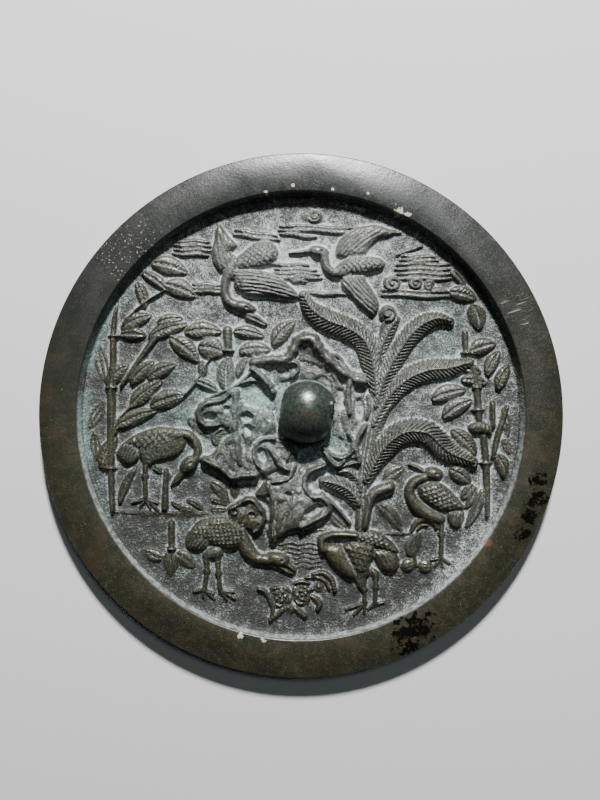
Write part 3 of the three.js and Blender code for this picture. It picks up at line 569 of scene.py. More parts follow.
ROCK_MASSES = (
    (0.9, 1.6, [11,13, 16,14, 23.5,12, 24.5,6, 24.6,-3, 22,-12, 22,-19, 14,-20, 8,-18, 10,-10, 12,0]),
    (0.9, 1.8, [-18,21.5, -12,22.5, -5.5,23, -2.6,29, 1.5,31, 5.5,29.5, 9,25, 15,20.5, 23,13, 14,8, 8,12,
        -6,13, -12,9, -16,12]),
    (1.0, 1.6, [-25,11, -22.5,13, -17.5,17, -10.5,9, -10,2, -18,1, -25,3]),
    (2.0, 1.8, [-39,2, -36.5,4.5, -35,5.6, -30,6.2, -27.5,8, -25,11.4, -22.6,11, -22.4,6, -20,3.4, -16,1.4,
        -11,2, -9.5,-3, -9.6,-8, -14,-8, -17.8,-12, -18.2,-16, -15.8,-20, -16.6,-23.4, -22,-24.6, -27,-24,
        -30,-21.7, -34,-20, -37.3,-18.4, -37.4,-15.8, -34,-14.6, -32,-12.5, -31,-9.5, -27.5,-7.5, -28.6,-5,
        -31,-4.2, -35,-5, -38.6,-2.5]),
    (1.9, 1.8, [-13,-24, -9,-25.8, -4,-24, -1.5,-20, 2,-18.6, 8,-16.8, 9.6,-19.6, 5,-20.8, 2.6,-22.6,
        2.4,-26, 4,-29, 8,-30.6, 11,-33, 10.8,-37, 7.6,-40, 3,-41.6, 0,-43, -4,-44, -8,-46.8, -12,-46.4,
        -13.6,-42, -12,-36, -13.5,-32, -17.4,-30.4, -15.4,-27]),
    (1.8, 1.6, [-27.8,-36.5, -26.2,-33.6, -22,-33, -18.6,-31, -16,-33.5, -13.8,-36.5, -13.4,-39.5,
        -15.5,-43, -19,-44, -23,-42, -27,-39.8]),
    (1.7, 2.2, [-18.6,-13, -16.4,-9, -11.5,-8, -6,-9, -2,-13, -1.4,-18, -3.4,-23, -8.5,-26, -13.5,-24.4,
        -17,-20]),
    (2.3, 1.6, [8.3,-12.4, 11,-14.5, 14,-15.8, 17,-15.6, 19.4,-13.6, 20,-9, 21.2,-5, 23.6,-2.6, 25.2,-4.2,
        23.2,-8, 22,-12, 23.2,-16, 22.4,-19.8, 18,-19.2, 14.8,-20, 12.2,-19.8, 9.6,-16.5]),
    (1.2, 1.2, [-33.5,-6, -31,-4.4, -28,-5.4, -27,-8.4, -28.6,-11.4, -32,-12.2, -34,-9.6]),
)
ROCK_HOLLOWS = (
    (2, 25.2, 3.4, 3, 0, 0.5), (-12, 17.6, 2.8, 2.4, 0, 0.3), (-6.8, 16.4, 5.6, 3, -20, 0.2),
    (-16.8, 6.6, 10.5, 8.5, -10, 0.1), (-34.4, -0.6, 5, 3.4, 0, 0.2), (-20.4, -0.8, 4.6, 4, 0, 0.6),
    (-20, -5.6, 3, 4.4, 10, 0.5), (-28, 2.2, 2.6, 2.8, 0, 0.6), (-21.8, -11, 1.6, 7, 5, 0.9),
    (3.4, 18.6, 9, 3, -20, 0.2), (22.2, 9, 4.6, 2.6, 30, 0.3), (22, 2, 3.6, 8.5, 0, 0.3),
    (13.4, -11, 6.6, 6, -10, 0.3), (18.5, -17, 5.6, 1.5, 8, 0.8), (5.6, -26.2, 3.4, 4.6, -30, 0.1),
    (4.6, -36, 8, 3.6, 28, 0.4), (-21.4, -28.2, 5.6, 5.4, 0, 0.1), (-11.8, -31, 3, 2, 0, 0.8),
    (-13.2, -40, 1.4, 7, 10, 0.5), (-14.6, -15, 3.6, 5.4, 10, 0.4), (-9.4, -22.2, 6, 2.6, 10, 0.5),
    (15, 6, 4, 8, 10, 0.3), (-5, -30, 2.4, 2, 0, 1.2), (5.6, -22, 4.6, 2, 20, 0.2),
)
ROCK_RIDGES = (
    (1.0, [1.8, 2.2, 2.1, 2.2, 2], [-17.5,20, -14,20.6, -6,21, -3,24.6, -0.3,28.6, 4,29, 7.2,24.6, 10.5,21,
        14,18, 17,15.4, 20,13.6, 23.6,12.8]),
    (0.6, [0.6, 0.8, 0.7], [6,30, 9.5,23.7, 14,22.2, 16.6,18.8, 19,16.2, 24,15]),
    (0.8, [0.9, 1.1, 0.8], [-8,19, -2.4,20, -1,17.2, -3.4,14.6]),
    (0.9, [1.4, 1.8, 1.3], [-18,17.5, -15,14.5, -12,11.5, -10.6,9]),
    (0.6, [0.5, 0.7, 0.6], [-36,6, -30,8.6, -25.5,10.6, -22,13, -18.4,16.6]),
    (0.6, [0.5, 0.6, 0.5], [-22.5,12, -18.5,13.2, -13.6,12]),
    (0.95, [1.2, 1.5, 1.4, 1], [-26,9, -30,5.6, -35.4,4.6, -38.4,1.6, -37.8,-2, -35,-4, -31,-3.4]),
    (1.0, [1.6, 2.1, 1.9, 1.5], [-24.6,8.6, -25,0, -24.4,-8, -23,-18]),
    (1.0, [1.4, 1.8, 1.7, 1.5], [-36.4,-16.8, -33,-18.4, -29,-20.8, -26,-23.4, -22,-22.8, -17,-22.6]),
    (0.9, [0.9, 1.1, 1.1, 0.9], [-10,-8.7, -14.4,-9, -17.4,-12.2, -17.7,-16.4, -15.6,-19.6]),
    (0.9, [0.8, 1.3, 1.6, 1.1], [-12.6,-12, -10,-15, -8,-18.6, -4.6,-20.6]),
    (0.8, [0.8, 1, 0.8], [-2,-19, -3.4,-22.4, -6,-24.4, -11,-25.2]),
    (0.75, [0.6, 0.8, 0.6], [-6,-10.4, -4.4,-13.6, -5.2,-17]),
    (1.0, [1.3, 1.6, 1.4], [18.2,13, 17.8,7, 18.2,1]),
    (0.7, [1, 1.2, 0.9], [25.4,7, 25.8,3, 25,-1]),
    (1.05, [1.1, 1.4, 1.3], [24.4,-3.8, 21.6,-8, 20.8,-12, 22,-17.6]),
    (0.95, [0.8, 1.1, 1.1, 0.9], [8.6,-12.4, 12,-15.2, 16,-15.8, 19,-13.6, 19.4,-9.6, 18,-7]),
    (1.0, [1, 1.4, 1.2, 0.9], [9,-14, 11.6,-17.6, 14,-19, 16.4,-17]),
    (0.8, [0.5, 0.8, 0.6], [15.4,-19.2, 19,-18.2, 22.4,-17.4]),
    (1.0, [1.1, 1.4, 1.4, 1.4, 1.1], [8.5,-19, 4,-20.6, 1.8,-23, 1.4,-27, 4,-30.4, 8,-31, 10.4,-33.6,
        9.6,-37, 5,-39.6, 0,-42]),
    (0.9, [0.7, 0.8, 0.7], [-3.2,-29, -3.6,-33, -5,-38, -6.6,-44]),
    (0.9, [1, 1.1, 0.9], [-12.4,-27, -10.6,-33, -11,-40, -10.6,-46]),
    (0.85, [0.9, 1.2, 1.1, 0.8], [-27,-35.4, -24,-33.8, -19,-31.6, -15.6,-35, -13.8,-38.4, -15.6,-42.6,
        -18,-44]),
    (0.7, [0.6, 0.7, 0.6], [8,-29.4, 12,-33.4, 16,-38, 18.4,-41]),
)


def rock():
    """The pierced garden rock around the knob: lobes, folded ridges, worn hollows and contour lines."""
    before = relief.copy()
    for height, edge, outline in ROCK_MASSES:
        pad(outline, height, edge)
    within = soften((relief > before + 0.3).astype(float), 0.6)
    folds = cloudy(3.0)
    relief[:] = relief + within * (ROCK_FOLD * folds + ROCK_CREASE * np.cos(ROCK_CREASES * folds))
    for place in ROCK_HOLLOWS:
        press(*place)
    for share, halves, points in ROCK_RIDGES:
        ts = np.linspace(0, 1, 2 * len(points))
        swell = 1.1 + 0.2 * np.sin(2.1 * np.arange(len(ts)) + points[0])
        halves = np.interp(ts, np.linspace(0, 1, len(halves)), halves) * swell
        sweep(points, halves, ROCK_RIDGE * share, 0.6)
    relief[:] = relief + soften((relief > before + 0.3).astype(float), 0.8) * ROCK_PITS * cloudy(1.0)
    for x, y, radius in ((-18.5, -37.5, 2.2), (-25, -36.2, 2)):
        oval(x, y, 2 * radius, 2 * radius, 0, ROCK_RIDGE * 0.95)
        press(x, y, radius, radius, 0, ROCK * 0.9)
        oval(x, y, radius * 0.7, radius * 0.7, 0, ROCK * 1.5)
    oval(-10.5, -47, 3.6, 3.2, 0, ROCK_RIDGE * 0.8)


def shore():
    """The bank, the ripples, and the tortoise with its shells and weed."""
    sweep([-70,-36.6, -54,-37, -40,-37.4, -27,-38], [0.6, 1, 1, 0.7], GROUND)
    sweep([0,-43.5, 12,-43.6, 26,-44.6, 42,-45], [0.7, 0.8, 0.8, 0.6], GROUND)
    for row in range(6):
        wavy(-10 + row * 0.8, -48.6 - 1.75 * row, 8, -48.6 - 1.75 * row, 0.65, GROUND, 0.45, 2.5)
    pad([-12,-65.6, -8.4,-64.4, -4.4,-65.4, -3,-69, -4.2,-72, -8,-73, -11,-71.4], SHELL, 1.0, petals(5,
        1.9), 20)
    pad([-3.4,-65.2, 0,-64.2, 3.4,-64.9, 3.9,-68.4, 3.2,-71.6, 0,-72.2, -2.8,-70.4], SHELL * 1.05, 1.0,
        petals(4, 1.7), 40)
    pad([-7.4,-72.6, -4.6,-71, -2,-72.4, -2.4,-74.6, -5.4,-74.8], SHELL * 0.9, 1.0, petals(3, 2.4), 0)
    pad([4.8,-64.2, 7,-62.8, 8.8,-64, 8.4,-66.4, 5.6,-66.8], SHELL * 0.9, 1.0, petals(3, 2.2), 60)
    for points, halves in (
        ([-16.4,-65.6, -13.6,-66.8, -11.8,-70, -10.6,-73.2, -11,-77], [0.6, 1, 1.1, 1, 0.8]),
        ([-7,-73.6, -9,-75.4, -11.6,-77.4], [1, 1.2, 0.9]),
        ([-2.4,-72.8, -0.6,-74.4, 1.4,-76], [1, 1.3, 1.1]),
        ([4,-68.4, 6.2,-70, 7,-71.8, 6.2,-73.6], [0.7, 1.3, 1.4, 0.8]),
        ([-2.4,-63.6, 0.4,-62.8, 3,-63.6], [0.5, 0.8, 0.5]),
        ([2.4,-66.4, 4.4,-65.6], [0.8, 0.8]),
    ):
        sweep(points, halves, SHELL * 0.9, 0.5, ribs=0.12, ribs_apart=1.4)
    sweep([4.4,-60.2, 8.2,-59.6, 11.4,-62, 12.8,-66.4], [0.7, 1.1, 1.2, 0.9], SHELL, ribs=0.25,
        ribs_apart=1.1)
    sweep([1.6,-61.6, 5.6,-61.2, 9,-62.8, 10.8,-66], [0.5, 0.8, 0.9, 0.6], SHELL * 0.8, ribs=0.2,
        ribs_apart=1.1)


FIGURES = (
    flying_crane_left, flying_crane_right, standing_crane_left, standing_crane_low_left,
    preening_crane, standing_crane_right,
)


def draw_relief():
    clouds()
    rock()
    shore()
    small_plants()
    bamboo()
    palm()
    for figure in FIGURES:
        figure()
    worn = sum(share * soften(relief, reach) for share, reach in WEAR) + UNEVENNESS * cloudy(2.4)
    edge = np.clip((FIELD_RADIUS - 1.2 - np.hypot(GRID_X, GRID_Y)) / 1.5, 0, 1)
    return worn * edge


def sample(image, x, y):
    """The image's values at scattered points of the field."""
    i = np.clip((x + HALF) / STEP, 0, SAMPLES - 1.001)
    j = np.clip((y + HALF) / STEP, 0, SAMPLES - 1.001)
    i0, j0 = i.astype(int), j.astype(int)
    s, t = i - i0, j - j0
    below = image[j0, i0] * (1 - s) + image[j0, i0 + 1] * s
    above = image[j0 + 1, i0] * (1 - s) + image[j0 + 1, i0 + 1] * s
    return below * (1 - t) + above * t


def ring_points(radius, height, count):
    angle = np.arange(count) * 2 * math.pi / count
    return np.stack([radius * np.cos(angle), radius * np.sin(angle), np.full(count, float(height))], 1)


def mesh_object(name, points, triangles):
    mesh = bpy.data.meshes.new(name)
    mesh.vertices.add(len(points))
    mesh.vertices.foreach_set("co", (points * MM).ravel())
    mesh.loops.add(triangles.size)
    mesh.loops.foreach_set("vertex_index", triangles.astype(np.int32).ravel())
    mesh.polygons.add(len(triangles))
    mesh.polygons.foreach_set("loop_start", np.arange(0, triangles.size, 3, dtype=np.int32))
    mesh.update(calc_edges=True)
    mesh.validate()
    thing = bpy.data.objects.new(name, mesh)
    bpy.context.scene.collection.objects.link(thing)
    return thing


def stack_rings(rings):
    """A closed skin from rings of points, with a single point at each end. Counts may double once."""
    points, triangles = [rings[0][0][None, :]], []
    start = 1
    previous = None
    for ring in rings[1:-1]:
        count = len(ring)
        ids = start + np.arange(count)
        nxt = np.roll(ids, -1)
        if previous is None:
            triangles.append(np.stack([np.zeros(count, int), ids, nxt], 1))
        elif len(previous) == count:
            before = np.roll(previous, -1)
            triangles.append(np.stack([previous, ids, nxt], 1))
            triangles.append(np.stack([previous, nxt, before], 1))
        else:
            even, odd = ids[0::2], ids[1::2]
            before, next_even = np.roll(previous, -1), np.roll(even, -1)
            triangles.append(np.stack([previous, even, odd], 1))
            triangles.append(np.stack([previous, odd, before], 1))
            triangles.append(np.stack([before, odd, next_even], 1))
        points.append(ring)
        previous = ids
        start += count
    points.append(rings[-1][0][None, :])
    triangles.append(np.stack([previous, np.full(len(previous), start), np.roll(previous, -1)], 1))
    return np.concatenate(points), np.concatenate(triangles)


# Rings of points on the disc: points in each ring, half as many near the middle, and their distances
AROUND = 1680
DOUBLE_AT = 42.0
FIRST_RING = 6.0
RING_STEP = 0.3
LAST_RING = 60


def rounding(size, turn):
    """How far in and up a rounded corner of this size has gone after part of its quarter turn."""
    return size * (1 - math.sin(turn * math.pi / 2)), size * (1 - math.cos(turn * math.pi / 2))


def disc(heights):
    """The disc with its carved field, as rings from the field's centre over the rim to the underside."""
    rings = [np.array([[0, 0, PLATE_THICKNESS]], float)]
    for radius in np.arange(FIRST_RING, FIELD_RADIUS - FOOT_FILLET, RING_STEP):
        ring = ring_points(radius, PLATE_THICKNESS, AROUND // 2 if radius < DOUBLE_AT else AROUND)
        ring[:, 2] += sample(heights, ring[:, 0], ring[:, 1])
        rings.append(ring)
    profile = [(FIELD_RADIUS - FOOT_FILLET, PLATE_THICKNESS)]
    for turn in (0.35, 0.7, 1.0):
        inward, upward = rounding(FOOT_FILLET, turn)
        profile.append((FIELD_RADIUS - inward, PLATE_THICKNESS + upward))
    profile += [(FIELD_RADIUS + 0.35 * WALL_LEAN, 4.8), (FIELD_RADIUS + 0.7 * WALL_LEAN, 6.4)]
    profile += [(RIM_INNER - 0.05, RIM_THICKNESS - 0.35), (RIM_INNER + 0.1, RIM_THICKNESS - 0.08)]
    profile += [(radius, RIM_THICKNESS) for radius in (RIM_INNER + 0.35, RIM_INNER + 4, OUTER_RADIUS - 4)]
    for turn in (0.0, 0.5, 1.0):
        inward, upward = rounding(EDGE_BEVEL, turn)
        profile.append((OUTER_RADIUS - inward, RIM_THICKNESS - upward))
    for turn in (1.0, 0.5, 0.0):
        inward, upward = rounding(EDGE_BEVEL, turn)
        profile.append((OUTER_RADIUS - inward, upward))
    profile.append((LAST_RING, 0))
    rings += [ring_points(radius, height, AROUND) for radius, height in profile]
    rings.append(np.array([[0, 0, 0]], float))
    return mesh_object("mirror_casting", *stack_rings(rings))


def knob():
    """The knob: a dome on a narrower foot, worn a little out of round."""
    around, up, foot_rings = 180, 36, 8
    rings = [np.array([[*KNOB_CENTRE, PLATE_THICKNESS + KNOB_HEIGHT]], float)]
    for i in range(1, up + 1):
        turn = math.pi / 2 * (1 - i / up)
        radius = KNOB_RADIUS * math.cos(turn)
        height = KNOB_WAIST + (KNOB_HEIGHT - KNOB_WAIST) * math.sin(turn)
        rings.append(ring_points(radius, PLATE_THICKNESS + height, around))
    for i in range(1, foot_rings + 1):
        s = i / foot_rings
        radius = KNOB_RADIUS + (KNOB_FOOT_RADIUS - KNOB_RADIUS) * s * s
        rings.append(ring_points(radius, PLATE_THICKNESS + KNOB_WAIST * (1 - s) - KNOB_ROOT * s, around))
    for ring in rings[1:]:
        angle = np.degrees(np.arctan2(ring[:, 1], ring[:, 0]))
        reach = np.interp(angle, *zip(*KNOB_OUTLINE), period=360)
        outer = np.clip(np.hypot(ring[:, 0], ring[:, 1]) / KNOB_RADIUS, 0, 1) ** 3
        ring[:, :2] *= (1 + (reach - 1) * outer)[:, None]
        ring[:, :2] += KNOB_CENTRE
    rings.append(np.array([[*KNOB_CENTRE, PLATE_THICKNESS - KNOB_ROOT]], float))
    return mesh_object("knob_form", *stack_rings(rings))


def cord_hole():
    """A bar with rounded corners along X, which widens at both mouths."""
    outline = []
    for centre_y, centre_z, quarter in (
        (HOLE_WIDTH / 2 - HOLE_CORNER, HOLE_HEIGHT / 2 - HOLE_CORNER, 0),
        (HOLE_CORNER - HOLE_WIDTH / 2, HOLE_HEIGHT / 2 - HOLE_CORNER, 1),
        (HOLE_CORNER - HOLE_WIDTH / 2, HOLE_CORNER - HOLE_HEIGHT / 2, 2),
        (HOLE_WIDTH / 2 - HOLE_CORNER, HOLE_CORNER - HOLE_HEIGHT / 2, 3),
    ):
        for k in range(6):
            angle = (quarter + k / 5) * math.pi / 2
            corner = (centre_y + HOLE_CORNER * math.cos(angle), centre_z + HOLE_CORNER * math.sin(angle))
            outline.append(corner)
    outline = np.array(outline)
    middle_z = PLATE_THICKNESS + HOLE_SILL + HOLE_HEIGHT / 2
    rings = []
    for x, wider, higher in HOLE_FLARES:
        ring = np.column_stack([np.full(len(outline), x), outline * (wider, higher)])
        ring = ring + np.array([KNOB_CENTRE[0], KNOB_CENTRE[1], middle_z])
        ring[:, 2] = np.maximum(ring[:, 2], PLATE_THICKNESS + HOLE_FLOOR)
        rings.append(ring)
    ends = [rings[0].mean(0)[None, :], rings[-1].mean(0)[None, :]]
    points, triangles = stack_rings([ends[0], *rings, ends[1]])
    return mesh_object("hole_form", points, triangles[:, ::-1])


def combine(target, other, operation):
    change = target.modifiers.new("join", "BOOLEAN")
    change.operation = operation
    change.solver = "MANIFOLD"
    change.object = other
    apply_changes(target)
    bpy.data.objects.remove(other)


def apply_changes(thing):
    graph = bpy.context.evaluated_depsgraph_get()
    made = bpy.data.meshes.new_from_object(thing.evaluated_get(graph))
    thing.modifiers.clear()
    thing.data = made


MOST_TRIANGLES = 190_000
SHARP_FROM = math.radians(50)


def thin_out(thing):
    """Fewer triangles where the surface is plain, so that the detail keeps them."""
    count = sum(len(p.vertices) - 2 for p in thing.data.polygons)
    if count > MOST_TRIANGLES:
        change = thing.modifiers.new("thin", "DECIMATE")
        change.ratio = MOST_TRIANGLES / count
        apply_changes(thing)


def keep_inside(thing):
    """Moves points that the thinning pushed slightly outwards back to the casting's outer size."""
    mesh = thing.data
    points = np.empty(len(mesh.vertices) * 3)
    mesh.vertices.foreach_get("co", points)
    points = points.reshape(-1, 3)
    radius = np.hypot(points[:, 0], points[:, 1])
    points[:, :2] *= np.minimum(1, OUTER_RADIUS * MM * (1 - 1e-6) / np.maximum(radius, MM))[:, None]
    points[:, 2] = np.clip(points[:, 2], 0, TOP_HEIGHT * MM)
    mesh.vertices.foreach_set("co", points.ravel())


def on_rim_top(mesh):
    """Which faces lie in the rim's flat top, where smooth shading would tilt the sheen."""
    normals, centres = np.empty(len(mesh.polygons) * 3), np.empty(len(mesh.polygons) * 3)
    mesh.polygons.foreach_get("normal", normals)
    mesh.polygons.foreach_get("center", centres)
    level = np.abs(centres[2::3] / MM - RIM_THICKNESS) < 0.002
    return level & (normals[2::3] > 0.9999)


def store(mesh, name, values):
    layer = mesh.attributes.new(name, "FLOAT", "POINT")
    layer.data.foreach_set("value", values.astype(np.float32))


# Soft places of dust on the casting, which on the raised metal also stand for a painted sheen towards the
# top: strength, centre x and y, and reach along x and y
DUST_AND_SHEEN_PLACES = (
    (0.72, 5, 60, 46, 22), (0.4, 44, 12, 30, 30), (0.65, -15, 5, 26, 24), (-0.08, -10, -72, 60, 14),
    (0.22, -52, 45, 28, 24), (0.25, 20, -30, 22, 16), (0.25, 62, -38, 14, 24), (0.35, 19, 2, 9, 18),
    (0.25, -14, -14, 8, 8), (0.35, 0, -33, 12, 12),
)
DUSTY_BY_WALL = ((0.4, 58, -55, 26, 26), (0.12, 0, -84, 50, 22))
GREENED = (
    (1, -20, 2, 26, 20), (0.4, 46, 30, 22, 14), (0.5, 14, -12, 12, 10), (0.35, -36, -50, 7, 7),
    (0.3, -58, -15, 8, 6),
)
UNWORN_RIM = ((0.75, -80, 25, 45, 60), (0.35, 92, -5, 30, 30))
LEAST_DUST = -0.2
LIFT_RANGE = 2.0
SINK_RANGE = 0.6


def ramp(values, start, end):
    """0 up to the start, 1 from the end on, and even between them."""
    return np.clip((values - start) / (end - start), 0, 1)


def mark_surface(thing, heights):
    """Stores on each point what the material needs: how raised, sunk, dusty or green it is, its part, and
    where the painted sky reflection on the rim and the painted highlight on its inner wall go.
    """
    mesh = thing.data
    points = np.empty(len(mesh.vertices) * 3)
    mesh.vertices.foreach_get("co", points)
    x, y, z = (points.reshape(-1, 3) / MM).T
    radius = np.hypot(x, y)
    on_field = radius < FIELD_RADIUS - 1
    from_knob = np.hypot(x - KNOB_CENTRE[0], y - KNOB_CENTRE[1])
    sunk = soften(heights, 0.75) - heights

    def places(table):
        return sum(share * np.exp(-((x - centre_x) / reach_x) ** 2 - ((y - centre_y) / reach_y) ** 2)
                   for share, centre_x, centre_y, reach_x, reach_y in table)

    lift = np.clip(sample(heights, x, y) / LIFT_RANGE, 0, 1)
    hollow = np.clip(sample(sunk, x, y) / SINK_RANGE * 0.5 + 0.5, 0, 1)
    pale = places(DUST_AND_SHEEN_PLACES) + ramp(radius, 73, 81) * places(DUSTY_BY_WALL) + LEAST_DUST
    left_wall = ramp(radius, 79, 82) * ramp(-x, 40, 65) * ramp(y, -45, -15)
    store(mesh, "lift", np.where(on_field, lift, 0))
    store(mesh, "hollow", np.where(on_field, hollow, 0.5))
    store(mesh, "rim", np.maximum(ramp(radius, RIM_INNER - 0.35, RIM_INNER - 0.05), z < PLATE_THICKNESS / 2))
    store(mesh, "knob", ramp(-from_knob, -KNOB_RADIUS - 0.2, 0.2 - KNOB_RADIUS) * (z > PLATE_THICKNESS + 0.8))
    store(mesh, "pale", np.clip(pale, -0.25, 0.75))
    # How low each point sits; on the rim it fades out the painted sky reflection towards the bottom
    store(mesh, "low", ramp(-y, -70, 20))
    store(mesh, "worn", 1 - places(UNWORN_RIM))
    # Painted highlight: a thin line along the rim's inner wall, only on the lower side that faces the lamp
    store(mesh, "foot", np.clip(1 - np.abs(radius - 83.5) / 0.6, 0, 1) * np.minimum(ramp(-y, -20, 20), 0.7))
    store(mesh, "green", np.clip(places(GREENED) + 0.6 * left_wall + 0.05, 0, 1))


class Nodes:
    """Short names for building a shader's node tree."""

    def __init__(self, name):
        self.material = bpy.data.materials.new(name)
        self.material.use_nodes = True
        self.tree = self.material.node_tree
        self.shader = self.tree.nodes["Principled BSDF"]
        self.place = self.tree.nodes.new("ShaderNodeTexCoord").outputs["Object"]

    def link(self, value, socket):
        if isinstance(value, bpy.types.NodeSocket):
            self.tree.links.new(value, socket)
        else:
            socket.default_value = value

    def attribute(self, name):
        node = self.tree.nodes.new("ShaderNodeAttribute")
        node.attribute_name = name
        return node.outputs["Fac"]

    def noise(self, size, detail, rough, stretch=None, turn=0.0):
        node = self.tree.nodes.new("ShaderNodeTexNoise")
        node.inputs["Scale"].default_value = 1 / (size * MM)
        node.inputs["Detail"].default_value = detail
        node.inputs["Roughness"].default_value = rough
        place = self.place
        if stretch:
            place = self.mapped(self.mapped(place, (1, 1, 1), turn), stretch)
        self.link(place, node.inputs["Vector"])
        return node.outputs["Fac"]

    def mapped(self, place, scale, turn=0.0):
        node = self.tree.nodes.new("ShaderNodeMapping")
        node.inputs["Rotation"].default_value = (0, 0, turn)
        node.inputs["Scale"].default_value = scale
        self.link(place, node.inputs["Vector"])
        return node.outputs["Vector"]

    def math(self, operation, a, b, clamp=False):
        node = self.tree.nodes.new("ShaderNodeMath")
        node.operation = operation
        node.use_clamp = clamp
        self.link(a, node.inputs[0])
        self.link(b, node.inputs[1])
        return node.outputs[0]

    def times(self, a, b):
        return self.math("MULTIPLY", a, b)

    def plus(self, a, b, clamp=False):
        return self.math("ADD", a, b, clamp)

    def between(self, value, low, high, to_low=0.0, to_high=1.0):
        node = self.tree.nodes.new("ShaderNodeMapRange")
        node.interpolation_type = "SMOOTHSTEP"
        self.link(value, node.inputs["Value"])
        for name, number in (("From Min", low), ("From Max", high), ("To Min", to_low), ("To Max", to_high)):
            node.inputs[name].default_value = number
        return node.outputs[0]

    def spots(self, places, raggedness):
        """1 within any of the round places, with ragged edges, and 0 outside them."""
        flat = self.mapped(self.place, (1, 1, 0))
        rag = self.between(self.noise(2.5, 5, 0.7), 0.3, 0.7, -raggedness, raggedness)
        found = 0.0
        for x, y, radius in places:
            node = self.tree.nodes.new("ShaderNodeVectorMath")
            node.operation = "DISTANCE"
            self.link(flat, node.inputs[0])
            node.inputs[1].default_value = (x * MM, y * MM, 0)
            away = self.plus(self.times(node.outputs["Value"], 1 / (radius * MM)), rag)
            found = self.math("MAXIMUM", found, self.between(away, 0.8, 1.1, 1.0, 0.0))
        return found

    def mix(self, share, first, second):
        node = self.tree.nodes.new("ShaderNodeMix")
        node.data_type = "RGBA"
        self.link(share, node.inputs["Factor"])
        for value, socket in ((first, node.inputs[6]), (second, node.inputs[7])):
            self.link(value if isinstance(value, bpy.types.NodeSocket) else (*value, 1), socket)
        return node.outputs[2]

    def blend(self, share, first, second):
        node = self.tree.nodes.new("ShaderNodeMix")
        node.data_type = "FLOAT"
        self.link(share, node.inputs["Factor"])
        self.link(first, node.inputs[2])
        self.link(second, node.inputs[3])
        return node.outputs[0]

    def bump(self, height, depth, below=None):
        node = self.tree.nodes.new("ShaderNodeBump")
        node.inputs["Distance"].default_value = depth * MM
        self.link(height, node.inputs["Height"])
        if below is not None:
            self.link(below, node.inputs["Normal"])
        return node.outputs[0]


DARK_BRONZE = (0.024, 0.026, 0.016)
BROWN_BRONZE = (0.036, 0.030, 0.015)
# Grey of dusty metal, which also serves as a painted sheen on the raised forms towards the top
GREY_DUST_AND_SHEEN_BRONZE = (0.078, 0.079, 0.070)
# Painted reflection: the cool tone of the upper rim where its sheen reflects the sky
RIM_SKY_REFLECTION_TINT = (0.011, 0.0125, 0.012)
RIM_BRONZE = (0.014, 0.015, 0.009)
RIM_BROWN = (0.025, 0.019, 0.009)
RIM_PALE = (0.044, 0.044, 0.032)
KNOB_BRONZE = (0.036, 0.047, 0.039)
KNOB_DARK = (0.015, 0.019, 0.013)
KNOB_RED = (0.058, 0.033, 0.022)
RED_SPOT = (0.075, 0.035, 0.018)
DUST = (0.33, 0.365, 0.35)
DUSK = (0.013, 0.013, 0.0115)
VERDIGRIS = (0.15, 0.28, 0.25)
GREEN_BRONZE = (0.032, 0.062, 0.047)
# Pale dust at the forms' feet, and also the colour of the painted highlight along the rim's inner wall
PALE_DUST_AND_HIGHLIGHT = (0.42, 0.47, 0.45)
BLACK_CRUST = (0.003, 0.003, 0.002)
PALE_SPECK = (0.36, 0.36, 0.26)

# Places on the rim and the knob: x, y, radius
CRUSTS = (
    (42, -80, 6), (41, -87, 4), (46, -79, 3), (88.5, -25, 2.6), (87.5, -31, 3), (85.5, -38, 2.4),
    (83, -44, 2),
)
SPECKS = (
    (36.5, 76.5, 1.7), (39.5, 75.2, 1.2), (-22.5, -82, 0.9), (-14, -84, 0.8), (-13, 83.5, 0.7),
    (12, 84.6, 0.6), (-3, 86, 0.5), (25, 83, 0.4),
)
SPECKLED = (-64, 62, 13)
REDDISH = (70, -48, 1.8)
KNOB_REDDENED = (3, 1, 4)
KNOB_LIP = (11.3, 4.9, 0.7)
SCRATCHED = (79, 39, 7)
SCRATCH_TURN = math.radians(-18)
GRAIN_DEPTH = 0.4


